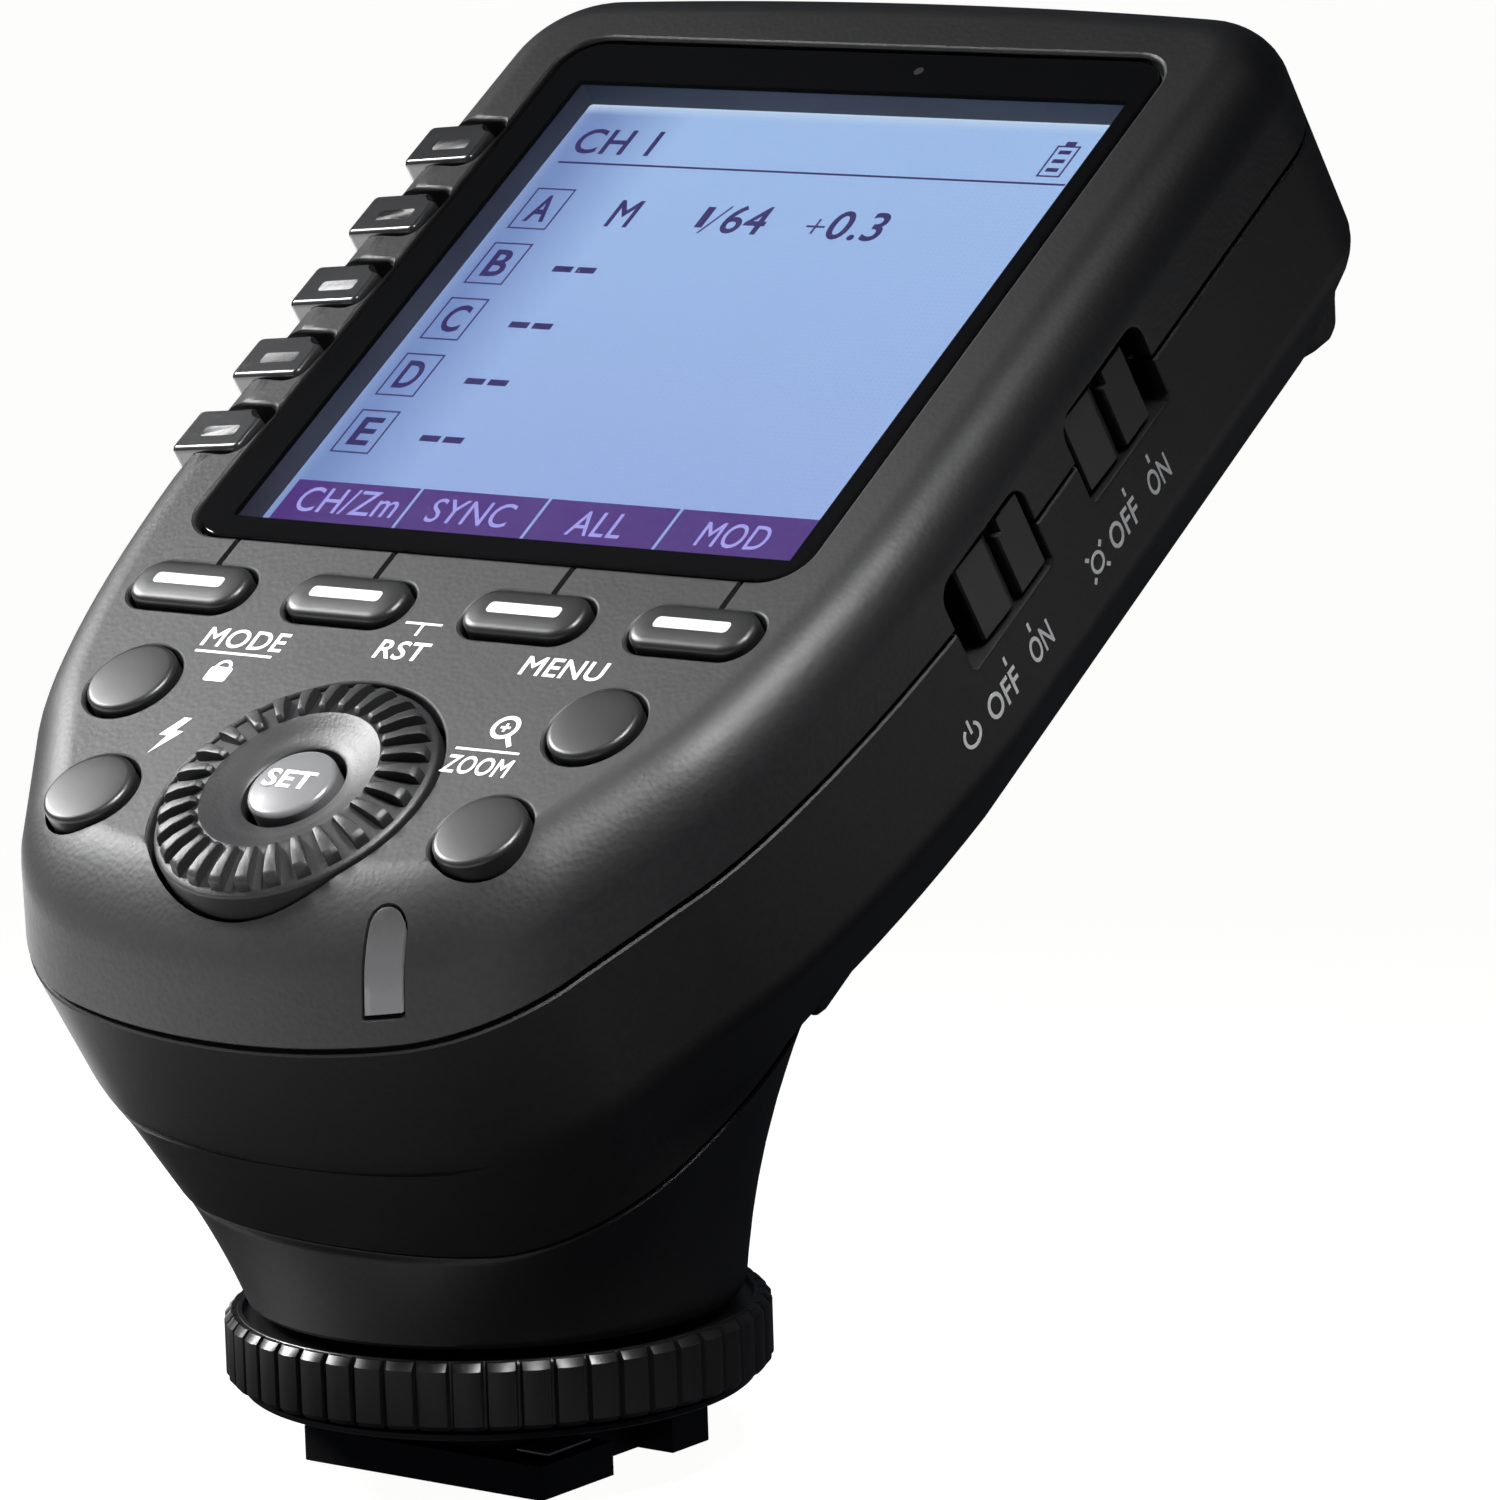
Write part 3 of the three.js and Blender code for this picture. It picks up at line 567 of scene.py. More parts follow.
def stacked(outline, steps, name="stack"):
    """A solid over one outline: steps are (height, growth), from low to high."""
    return loft([level(grown(outline, g), z) for z, g in steps], name)


def turned(profile, n=64, x=0.0, y=0.0, name="turned"):
    """A solid of revolution about z: profile is (radius, height) from low to high, on the outside."""
    return loft([level(circle(x, y, max(r, 1e-3), n), z) for r, z in profile], name)


def washer(profile, n=96, name="washer"):
    """A closed ring of revolution about z; the profile closes on itself."""
    bm = bmesh.new()
    rows = [[bm.verts.new((p.x, p.y, z)) for p in circle(0, 0, r, n)] for r, z in profile]
    for k, low in enumerate(rows):
        high = rows[(k + 1) % len(rows)]
        for i in range(n):
            j = (i + 1) % n
            bm.faces.new((low[i], low[j], high[j], high[i]))
    return from_bmesh(name, bm)


def hull(points, name="hull"):
    bm = bmesh.new()
    for p in points:
        bm.verts.new(p)
    made = bmesh.ops.convex_hull(bm, input=bm.verts)
    loose = {g for key in ("geom_interior", "geom_unused") for g in made[key]}
    bmesh.ops.delete(bm, geom=[g for g in loose if isinstance(g, bmesh.types.BMVert)], context="VERTS")
    bmesh.ops.dissolve_limit(bm, angle_limit=0.01, verts=bm.verts, edges=bm.edges)
    return from_bmesh(name, bm)


def apply(piece):
    """Turns a piece and its modifiers into a plain mesh."""
    bpy.context.view_layer.update()
    dg = bpy.context.evaluated_depsgraph_get()
    mesh = bpy.data.meshes.new_from_object(piece.evaluated_get(dg), depsgraph=dg)
    piece.modifiers.clear()
    old = piece.data
    piece.data = mesh
    bpy.data.meshes.remove(old)
    return piece


def discard(*pieces):
    for piece in pieces:
        mesh = piece.data
        bpy.data.objects.remove(piece)
        bpy.data.meshes.remove(mesh)


def combine(operation, piece, *tools):
    """Boolean of a piece with each tool in turn; the tools are used up."""
    for tool in tools:
        modifier = piece.modifiers.new("cut", "BOOLEAN")
        modifier.operation = operation
        modifier.object = tool
        modifier.solver = "MANIFOLD"
    apply(piece)
    discard(*tools)
    return piece


def carve(piece, *tools):
    return combine("DIFFERENCE", piece, *tools)


def joined(name, *pieces):
    """One mesh that holds several closed solids."""
    bm = bmesh.new()
    for piece in pieces:
        piece.data.transform(piece.matrix_world)
        bm.from_mesh(piece.data)
    discard(*pieces)
    mesh = bpy.data.meshes.new(name)
    bm.to_mesh(mesh)
    bm.free()
    return as_object(name, mesh)


def moved(piece, x=0.0, y=0.0, z=0.0, matrix=None):
    piece.data.transform(matrix or Matrix.Translation((x, y, z)))
    return piece


def soften(piece, width, segments=2, angle=32.0):
    """Rounds the edges that turn by more than the angle."""
    modifier = piece.modifiers.new("edge", "BEVEL")
    modifier.limit_method = "ANGLE"
    modifier.angle_limit = math.radians(angle)
    modifier.width = width
    modifier.segments = segments
    modifier.use_clamp_overlap = True
    return apply(piece)


def finish(piece, name, body, material, place=SLAB, replaces=(), sharp=38.0):
    """Places a made piece in the row frame, shades it and hands it to its body."""
    piece.name = name
    piece.data.name = name
    piece.data.transform(place)
    piece.data.materials.clear()
    piece.data.materials.append(material)
    piece.data.polygons.foreach_set("use_smooth", [True] * len(piece.data.polygons))
    piece.data.polygons.foreach_set("material_index", [0] * len(piece.data.polygons))
    piece.data.set_sharp_from_angle(angle=math.radians(sharp))
    weighted = piece.modifiers.new("normals", "WEIGHTED_NORMAL")
    weighted.keep_sharp = True
    apply(piece)
    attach(piece, body)
    if replaces:
        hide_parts(*replaces)
    return piece


# ---- patterns that repeat
def repeated(name, base, unit, count, material, radius=None, start=(0.0, 0.0, 0.0), step=(0.0, 0.0, 0.0)):
    """Joins a base with copies of a unit, set round a circle of the given radius or along a row."""
    tree = bpy.data.node_groups.new(name + "_pattern", "GeometryNodeTree")
    tree.interface.new_socket("Geometry", in_out="INPUT", socket_type="NodeSocketGeometry")
    count_in = tree.interface.new_socket("Count", in_out="INPUT", socket_type="NodeSocketInt")
    reach_in = tree.interface.new_socket("Reach", in_out="INPUT", socket_type="NodeSocketFloat")
    tree.interface.new_socket("Geometry", in_out="OUTPUT", socket_type="NodeSocketGeometry")
    g = Graph(tree)
    entry = g.node("NodeGroupInput")
    inputs = {s.name: Signal(g, s) for s in entry.outputs if s.name}
    copy = g.signal("GeometryNodeObjectInfo", {"transform_space": "ORIGINAL"}, {"Object": unit}, "Geometry")
    if radius is None:
        points = g.node("GeometryNodeMeshLine", None, {"Count": inputs["Count"], "Start Location": start})
        way = Vector(step).normalized()
        offset = g.signal("ShaderNodeVectorMath", {"operation": "SCALE"}, {0: way, "Scale": inputs["Reach"]})
        g.feed(points.inputs["Offset"], offset)
        turn = None
    else:
        spread = {"Vertices": inputs["Count"], "Radius": inputs["Reach"]}
        points = g.node("GeometryNodeMeshCircle", None, spread)
        index = g.signal("GeometryNodeInputIndex")
        angle = index * (2 * math.pi) / inputs["Count"]
        turn = g.signal("ShaderNodeCombineXYZ", None, {"Z": angle})
    at = Signal(g, points.outputs["Mesh"])
    placed = g.node("GeometryNodeInstanceOnPoints", None, {"Points": at, "Instance": copy})
    if turn is not None:
        g.feed(placed.inputs["Rotation"], turn)
    whole = g.node("GeometryNodeJoinGeometry")
    tree.links.new(entry.outputs["Geometry"], whole.inputs[0])
    tree.links.new(placed.outputs[0], whole.inputs[0])
    real = g.signal("GeometryNodeRealizeInstances", None, {"Geometry": Signal(g, whole.outputs[0])})
    painted = g.signal("GeometryNodeSetMaterial", None, {"Geometry": real, "Material": material})
    out = g.node("NodeGroupOutput")
    tree.links.new(painted.socket, out.inputs["Geometry"])
    modifier = base.modifiers.new("pattern", "NODES")
    modifier.node_group = tree
    modifier[count_in.identifier] = count
    modifier[reach_in.identifier] = radius if radius is not None else Vector(step).length
    apply(base)
    discard(unit)
    return base


# ---- casing
BODY = body_outline(12)
NECK = neck_outline(14)


def top_skin(inset, ceiling, rim, steps=10, low=SEAM - 1.0, lip=0.0):
    rings = []
    if lip:
        rings.append(level(grown(BODY, -inset - lip), low, lean(low)))
        low += lip
    rings.append(level(grown(BODY, -inset), low, lean(low)))
    for k in range(steps + 1):
        turn = k / steps * math.pi / 2
        z = ceiling - rim * (1 - math.sin(turn))
        rings.append(level(grown(BODY, -inset - rim * (1 - math.cos(turn))), z, lean(z)))
    return loft(rings, "skin")


def lipped(outline, depth, lip, lip_steps=4, top=1.2, floor=0.0):
    """A cutter for a hole in the face whose mouth is rounded by lip."""
    steps = [(floor - depth, 0.0)]
    for k in range(lip_steps + 1):
        turn = k / lip_steps * math.pi / 2 * 0.9
        steps.append((floor - lip * (1 - math.sin(turn)), lip * (1 - math.cos(turn))))
    steps.append((floor + top, steps[-1][1] + top * 0.9))
    return stacked(outline, steps, "cutter")


def switch_outline(y, grow=0.0):
    """The slide's opening in the wall, in the wall's own plane: y along the body, z across it."""
    y0, y1 = y - grow, y + SWITCH_LENGTH + grow
    z0, z1 = SEAM - SWITCH_HALF - grow, SEAM + SWITCH_HALF + grow
    r = 1.3
    points = [Vector((y0, z0 + 0.3)), Vector((y0 + 0.3, z0)), Vector((y1 - 0.3, z0)), Vector((y1, z0 + 0.3))]
    points += arc(y1 - r, z1 - r, r, 0, math.pi / 2, 8)
    points += arc(y0 + r, z1 - r, r, math.pi / 2, math.pi, 8)
    return points


def along_x(outline, steps, name="wall_cut"):
    """A solid along x over an outline in (y, z): steps are (x, growth)."""
    rings = [[Vector((x, p.x, p.y)) for p in grown(outline, g)] for x, g in steps]
    return loft(rings, name)


def switch_cutter(y):
    face = HALF_W
    return along_x(
        switch_outline(y), [(25.0, 0.0), (face - 0.25, 0.0), (face - 0.07, 0.06), (face, 0.2), (face + 3, 2.6)]
    )


KEY_CENTRES = [KEY_Y + k * KEY_PITCH for k in range(5)]


def key_cutter(y):
    half = 2.0 + 0.32
    outline = [Vector((-36, y - half)), Vector((-25.2, y - half))]
    outline += arc(-25.2, y - half + 1.3, 1.3, -math.pi / 2, 0, 5)[1:]
    outline += arc(-24.4, y + half - 0.7, 0.7, 0, math.pi / 2, 6)
    outline += [Vector((-36, y + half))]
    return lipped(outline, 3.2, 0.35, 3)


LAMP_X = 11.6


def lamp_outline(half):
    points = [Vector((LAMP_X - half, -14)), Vector((LAMP_X + half, -14))]
    return points + arc(LAMP_X, -3.8, half, 0, math.pi, 12)


def top_shell():
    tools = [
        lipped(rounded_rect(GLASS[0] - 0.3, GLASS[1] + 0.3, GLASS[2] - 0.3, GLASS[3] + 0.3, 2.9), 1.3, 0.3, 5),
        box(WINDOW[0] - 0.35, WINDOW[1] + 0.35, WINDOW[2] - 0.35, WINDOW[3] + 0.35, -4, -0.6),
        lipped(circle(0, DIAL_Y, 9.4, 96), 4, 0.25),
        switch_cutter(SWITCH_LOW),
        switch_cutter(SWITCH_HIGH),
        prism(lamp_outline(1.38), -5.75, 3, "lamp_slot"),
    ]
    for x, y in ROUND_BUTTONS.values():
        tools.append(lipped(circle(x, y, ROUND_R + 0.28), 4, 0.22))
    for x in FUNCTION_XS:
        pocket = rounded_rect(x - 4.68, x + 4.68, FUNCTION_Y - 2.13, FUNCTION_Y + 2.13, 1.95)
        tools.append(lipped(pocket, 4, 0.25))
        tools.append(box(x + 0.35, x + 0.8, FUNCTION_Y + 2.0, GLASS[2], -0.4, 0.5))
    tools += [key_cutter(y) for y in KEY_CENTRES]
    outer = top_skin(0, 0, RIM_R, 12, SEAM + SEAM_GAP / 2, 0.12)
    inner = top_skin(SKIN, -SKIN, RIM_R - 1.2, 4)
    shell = carve(outer, inner, *tools)
    bosses = [turned([(1.7, -6.9), (1.7, -1.7)], 24, x, y) for x, y in SCREWS]
    return joined("top_shell", shell, *bosses)


SCREWS = [(-24.6, 25.4), (24.6, 25.4), (-20.6, 74.4), (20.6, 74.4)]


def bevel_at(p):
    along = min(1.0, max(0.0, (p.y + 12) / 27))
    along = along * along * (3 - 2 * along)
    top = min(1.0, max(0.0, (p.y - 78) / 2))
    top = top * top * (3 - 2 * top)
    return 0.8 + 5.5 * along * (1 - 0.6 * top)


def bottom_skin(inset, floor, edge=0.7, crease=1.1, lip=0.0, high=SEAM + 1.0):
    share = lambda z: (CREASE - z) / (CREASE - NECK_SEAM)
    rings = []
    for k in range(5):
        turn = k / 4 * math.pi / 2
        z = floor + edge * (1 - math.cos(turn))
        extra = edge * 0.5 * (1 - math.sin(turn))
        rings.append(level(grown(BODY, lambda p: -inset - extra - bevel_at(p) * share(z)), z))
    for k in range(1, 6):
        t = k / 6
        z = CREASE - crease * (1 - 2 * t)
        bend = share(CREASE - crease) * (1 - t) ** 2
        rings.append(level(grown(BODY, lambda p: -inset - bevel_at(p) * bend), z))
    rings.append(level(grown(BODY, -inset), CREASE + crease))
    rings.append(level(grown(BODY, -inset), high - lip))
    if lip:
        rings.append(level(grown(BODY, -inset - lip), high))
    return loft(rings, "tub")


def bottom_shell():
    outer = bottom_skin(0, UNDERSIDE, lip=0.12, high=SEAM - SEAM_GAP / 2)
    sections = ((0.02, NECK_SEAM), (0.15, NECK_SEAM + 0.15), (0.9, -17))
    root = loft([level(grown(NECK, by), z) for by, z in sections])
    lugs = []
    for side in (-1, 1):
        lobe = turned([(0.3, 14.0), (0.8, 14.25), (0.95, 14.8), (0.95, 18.2), (0.8, 18.75), (0.3, 19.0)], 24)
        lobe.data.transform(Matrix.Translation((side * 21, 0, -23.75)) @ Matrix.Rotation(-math.pi / 2, 4, "X"))
        lugs.append(lobe)
    combine("UNION", outer, root, *lugs)
    bay = box(-16.6, 16.6, 25.1, 78.4, -22.7, -15)
    recess = box(-21.1, 21.1, 26.4, 90, -30, -22.6)
    mouth = [(-40, 1.2), (-30.0, 0.35), (-29.6, 0.0), (-25, 0.0)]
    usb = along_x(rounded_rect(34, 42.4, -13.8, -10.2, 1.2, 5), mouth)
    jack = along_x(circle(52, -12, 2.3, 32), mouth)
    tub = carve(
        outer, bottom_skin(SKIN, UNDERSIDE + 3.0, 0.4), bay, recess, switch_cutter(SWITCH_LOW),
        switch_cutter(SWITCH_HIGH), usb, jack,
    )
    bosses = [turned([(1.8, -19.5), (1.8, -7.5)], 24, x, y) for x, y in SCREWS]
    return joined("bottom_shell", tub, *bosses)


finish(top_shell(), "top_casing", "housing", SHELL, replaces=["top_shell"])
finish(bottom_shell(), "bottom_casing", "housing", LOWER, replaces=["bottom_shell"])


def neck():
    oval = [SLAB_MM @ p for p in level(NECK, NECK_SEAM - 0.3)]
    under = SLAB_MM.to_3x3() @ Vector((0, 0, -1))
    turns = [math.atan2(p.y - 2, p.x) for p in oval]
    low = [Vector((NECK_R * math.cos(t), NECK_R * math.sin(t), RING_TOP + 0.5)) for t in turns]
    rings = [[Vector((p.x * 0.985, p.y * 0.985, p.z)) for p in low]]
    steps = 24
    for k in range(1, steps + 1):
        rise = k / steps
        ease = 0.75 * rise + 0.25 * rise * rise
        rings.append(
            [
                Vector((a.x + (b.x - a.x) * ease, a.y + (b.y - a.y) * ease, a.z + (b.z - a.z) * rise))
                for a, b in zip(low, oval)
            ]
        )
    centre = sum(oval, Vector()) / len(oval)
    rings[-1] = [p + under * 0.12 for p in oval]
    rings.append([p + (centre - p).normalized() * 0.12 for p in oval])
    solid = loft(rings, "neck")
    bore = turned([(7.9, 5), (7.9, 15.3)], 64)
    lamp = box(-6.4, 6.4, 8, 40, 19.5, 25.1)
    return carve(solid, bore, lamp)


finish(neck(), "neck_casing", "housing", LOWER, ROW, ["neck_base"])


# ---- display
pane = stacked(
    rounded_rect(*GLASS, 2.6),
    [(-1.0, -0.1), (-0.9, 0.0), (-0.42, 0.0), (-0.3, -0.04), (-0.22, -0.12), (-0.2, -0.24)],
)
finish(pane, "display_pane", "housing", PANE, replaces=["display_glass"], sharp=30)


def picture_frame(inner, outer, z0, z1):
    plate = prism(rounded_rect(*outer, 0.3, 3), z0, z1)
    return carve(plate, prism(rounded_rect(*inner, 0.25, 3), z0 - 1, z1 + 1))


window_out = (WINDOW[0] - 0.3, WINDOW[1] + 0.3, WINDOW[2] - 0.3, WINDOW[3] + 0.3)
finish(picture_frame(WINDOW, window_out, -2.66, -1.05), "window_gasket", "housing", GASKET)
finish(
    soften(box(-21.4, 22.9, 27.5, 71.5, -3.65, LCD_Z - 0.03), 0.08),
    "display_screen", "housing", LIT, replaces=["lcd_panel"],
)


def heavier(mesh, weight):
    """Moves the side walls of flat letters outward, holding back the sharpest corners."""
    bm = bmesh.new()
    bm.from_mesh(mesh)
    bmesh.ops.remove_doubles(bm, verts=bm.verts, dist=1e-5)
    bmesh.ops.recalc_face_normals(bm, faces=bm.faces)
    moves = []
    for v in bm.verts:
        sides = [f.normal for f in v.link_faces if abs(f.normal.z) < 0.5]
        way = sum(sides, Vector()).normalized()
        reach = min((way.dot(n) for n in sides), default=1.0)
        moves.append((v, way * weight / max(reach, 0.55)))
    for v, step in moves:
        v.co += step
    bm.to_mesh(mesh)
    bm.free()


class Print:
    """Gathers flat marks as thin closed solids."""

    def __init__(self, z=0.0, thick=0.02):
        self.parts = []
        self.z = z
        self.thick = thick

    def shape(self, points):
        self.parts.append(prism([Vector(p) for p in points], self.z, self.z + self.thick))

    def bar(self, x0, x1, y0, y1):
        self.shape([(x0, y0), (x1, y0), (x1, y1), (x0, y1)])

    def frame(self, x0, x1, y0, y1, w):
        self.bar(x0, x1, y0, y0 + w)
        self.bar(x0, x1, y1 - w, y1)
        self.bar(x0, x0 + w, y0 + w, y1 - w)
        self.bar(x1 - w, x1, y0 + w, y1 - w)

    def curve(self, x, y, r0, r1, start=0.0, end=360.0, n=40):
        a, b = math.radians(start), math.radians(end)
        if end - start >= 360:
            ring = carve(
                prism(circle(x, y, r1, n), self.z, self.z + self.thick),
                prism(circle(x, y, r0, n), self.z - 1, self.z + 1),
            )
            self.parts.append(ring)
        else:
            self.shape(arc(x, y, r1, a, b, n) + list(reversed(arc(x, y, r0, a, b, n))))

    def stroke(self, x0, y0, x1, y1, w):
        side = Vector((y0 - y1, x1 - x0)).normalized() * w / 2
        a, b = Vector((x0, y0)), Vector((x1, y1))
        self.shape([a - side, b - side, b + side, a + side])

    def text(self, words, x0, x1, y0, height, weight=0.0, slant=0.0):
        """Words whose capitals are height tall and which fill x0 to x1."""
        curve = bpy.data.curves.new("words", "FONT")
        curve.body = words
        curve.size = 1.0
        curve.extrude = 0.01
        curve.resolution_u = 4
        curve.space_character = 1.05
        made = bpy.data.objects.new("words", curve)
        bpy.context.scene.collection.objects.link(made)
        bpy.context.view_layer.update()
        dg = bpy.context.evaluated_depsgraph_get()
        mesh = bpy.data.meshes.new_from_object(made.evaluated_get(dg), depsgraph=dg)
        bpy.data.objects.remove(made)
        bpy.data.curves.remove(curve)
        heavier(mesh, weight)
        xs = [v.co.x for v in mesh.vertices]
        ys = [v.co.y for v in mesh.vertices]
        wide, tall = max(xs) - min(xs), max(ys) - min(min(ys), 0.0)
        for v in mesh.vertices:
            y = (v.co.y - min(ys)) / (max(ys) - min(ys)) * height
            x = x0 + (v.co.x - min(xs)) / wide * (x1 - x0) + slant * y
            v.co = (x, y0 + y, self.z if v.co.z < 0 else self.z + self.thick)
        bm = bmesh.new()
        bm.from_mesh(mesh)
        bpy.data.meshes.remove(mesh)
        self.parts.append(from_bmesh("words", bm))

    def done(self, name, body, material, slot, bend=None, place=SLAB):
        piece = joined(name, *self.parts)
        if bend:
            for v in piece.data.vertices:
                v.co = bend(v.co)
        return finish(piece, name, body, material, place, sharp=30)


ink = Print(LCD_Z)
ink.text("CH 1", -19.6, -13.2, 65.35, 2.5, BOLD)
ink.bar(-19.8, 19.8, 64.33, 64.5)
ink.frame(17.2, 18.95, 65.1, 68.1, 0.13)
ink.bar(17.7, 18.45, 68.1, 68.5)
for k in range(3):
    ink.bar(17.6, 18.5, 65.6 + 0.85 * k, 65.95 + 0.85 * k)
for k, letter in enumerate("ABCDE"):
    low = 57.75 - 5.46 * k
    ink.frame(-19.75, -16.65, low, low + 4.05, 0.12)
    ink.text(letter, -19.0, -17.35, low + 0.75, 2.6, HEAVY)
    if k:
        ink.bar(-13.6, -12.1, low + 1.55, low + 2.1)
        ink.bar(-11.75, -10.25, low + 1.55, low + 2.1)
ink.text("M", -12.35, -10.55, 58.4, 2.6, BOLD)
ink.text("1", -5.35, -4.75, 58.75, 2.0, 0.0)
ink.stroke(-4.75, 58.2, -3.55, 60.9, 0.13)
ink.text("64", -3.4, -0.1, 58.3, 2.75, BOLD)
ink.bar(3.1, 4.5, 59.3, 59.47)
ink.bar(3.72, 3.88, 58.7, 60.1)
ink.text("0.3", 4.8, 9.0, 58.25, 2.75, BOLD)
ink.done("display_marks", "housing", INK, "lcd")
bar = Print(LCD_Z)
for x0, x1 in ((-20.3, -10.55), (-10.3, -0.52), (-0.27, 9.52), (9.77, 20.6)):
    bar.bar(x0, x1, 27.8, 33.2)
bar.done("soft_key_bar", "housing", BAR_INK, "lcd")
names = Print(LCD_Z + 0.03)
names.text("CH/Zm", -19.1, -11.2, 30.35, 2.25)
names.text("SYNC", -8.6, -2.3, 30.3, 2.15)
names.text("ALL", 2.5, 6.6, 30.2, 2.15)
names.text("MOD", 12.3, 17.3, 30.15, 2.15)
names.done("soft_key_words", "housing", BAR_TEXT, "lcd")

sensor = turned([(0.34, -0.2), (0.34, -0.185)], 24, 5.0, 72.3)
finish(sensor, "light_sensor", "housing", satin("sensor_dot", 0.05, 0.2))


# ---- buttons
for name, (x, y) in ROUND_BUTTONS.items():
    profile = [(ROUND_R + 0.2, -2.8), (ROUND_R + 0.2, -2.5), (ROUND_R, -2.4), (ROUND_R, 0.08)]
    profile += [(ROUND_R - 0.42 * into, 0.08 + 0.38 * up) for into, up in rolled(6)]
    profile += [(2.0, 0.5), (1.2, 0.53), (0.0, 0.54)]
    cap = turned(profile, 72, x, y)
    finish(cap, f"{name}_cap", f"{name}_key", BUTTON, replaces=[f"{name}_button"])

for k, x in enumerate(FUNCTION_XS, 1):
    outline = rounded_rect(x - 4.4, x + 4.4, FUNCTION_Y - 1.85, FUNCTION_Y + 1.85, 1.72)
    steps = [(-2.6, 0.0), (0.1, 0.0)]
    steps += [(0.1 + 0.44 * up, -0.55 * into) for into, up in rolled(5)]
    steps += [(0.58, -0.9), (0.6, -1.4)]
    cap = stacked(outline, steps)
    finish(cap, f"function_cap_{k}", f"function_key_{k}", BUTTON, replaces=[f"function_button_{k}"])
    outline = rounded_rect(x - 2.72, x + 2.72, FUNCTION_Y - 0.4, FUNCTION_Y + 0.5, 0.3, 4)
    mark = stacked(outline, [(0.5, 0), (0.615, 0)])
    finish(mark, f"function_bar_{k}", f"function_key_{k}", BAR_WHITE)


def key_top(x):
    """Height of a group key's top, which leans outwards with the rim."""
    return 0.19 - 0.11 * (-24.1 - x)


for letter, y in zip("edcba", KEY_CENTRES):
    rings = []
    outline = rounded_rect(-30.15, -24.15, y - 1.95, y + 1.95, 0.55, 5)
    rings.append(level(outline, -2.45))
    for k in range(5):
        turn = k / 4 * math.pi / 2
        ring = grown(outline, -0.4 * (1 - math.cos(turn)))
        rings.append([Vector((p.x, p.y, key_top(p.x) - 0.42 * (1 - math.sin(turn)))) for p in ring])
    key = loft(rings)
    hook = stacked(circle(-24.3, y + 2.1, 1.05, 32), [(-1.4, 0), (0.6, 0.25), (1.5, 0.4)])
    finish(carve(key, hook), f"group_key_cap_{letter}", f"group_key_{letter}", KEY_GLOSS,
           replaces=[f"group_button_{letter}"], sharp=50)
    mark = stacked(rounded_rect(-28.3, -25.3, y - 0.75, y + 0.2, 0.25, 4), [(-0.04, 0), (0.0, 0)])
    for v in mark.data.vertices:
        v.co.z += key_top(v.co.x)
    finish(mark, f"group_bar_{letter}", f"group_key_{letter}", WHITE)


# ---- dial
def dial():
    profile = [(3.35, -2.1), (8.95, -2.1), (9.05, -1.9), (9.05, -0.15), (8.9, 0.05), (8.5, 0.16), (6.0, 0.85),
               (5.75, 0.98), (5.5, 0.92), (4.9, 0.66), (4.2, 0.44), (3.5, 0.36), (3.35, 0.24)]
    base = washer(profile, 112)
    rib = hull([Vector(p) for p in (
        (-2.82, -0.27, 0.4), (-2.82, 0.27, 0.4), (-2.76, -0.24, 1.12), (-2.76, 0.24, 1.12),
        (-2.45, -0.26, 1.34), (-2.45, 0.26, 1.34), (-1.2, -0.36, 1.22), (-1.2, 0.36, 1.22),
        (0.08, -0.48, -0.1), (0.08, 0.48, -0.1), (-0.05, -0.46, 0.72), (-0.05, 0.46, 0.72),
        (-0.35, -0.43, 0.98), (-0.35, 0.43, 0.98),
    )])
    soften(rib, 0.1, 2, 25)
    whole = repeated("dial", base, rib, DIAL_RIBS, DIAL_GRAIN, radius=8.6)
    return moved(whole, y=DIAL_Y)


finish(dial(), "select_dial_cap", "dial", DIAL_GRAIN, replaces=["select_dial"])
profile = [(2.6, -3.6), (2.6, -2.2), (SET_R, -2.15), (SET_R, 0.4)]
profile += [(SET_R - 0.45 * into, 0.4 + 0.34 * up) for into, up in rolled(6)]
profile += [(1.8, 0.8), (1.0, 0.85), (0.0, 0.87)]
finish(turned(profile, 72, 0, DIAL_Y), "set_cap", "set_key", SET_METAL, replaces=["set_button"])
word = Print(0.78, 0.11)
word.text("SET", -1.9, 1.7, DIAL_Y - 0.6, 1.45, HEAVY)
word.done("set_word", "set_key", WHITE, "set_grey")


# ---- lamp on the rim
pipe = combine("INTERSECT", top_skin(0.02, -0.02, RIM_R, 12, SEAM), prism(lamp_outline(1.2), -5.45, 3))
pipe = carve(pipe, top_skin(1.5, -1.5, RIM_R - 1, 6, SEAM - 1))
finish(soften(pipe, 0.12, 2, 40), "status_pipe", "housing", PIPE, replaces=["status_lamp"])


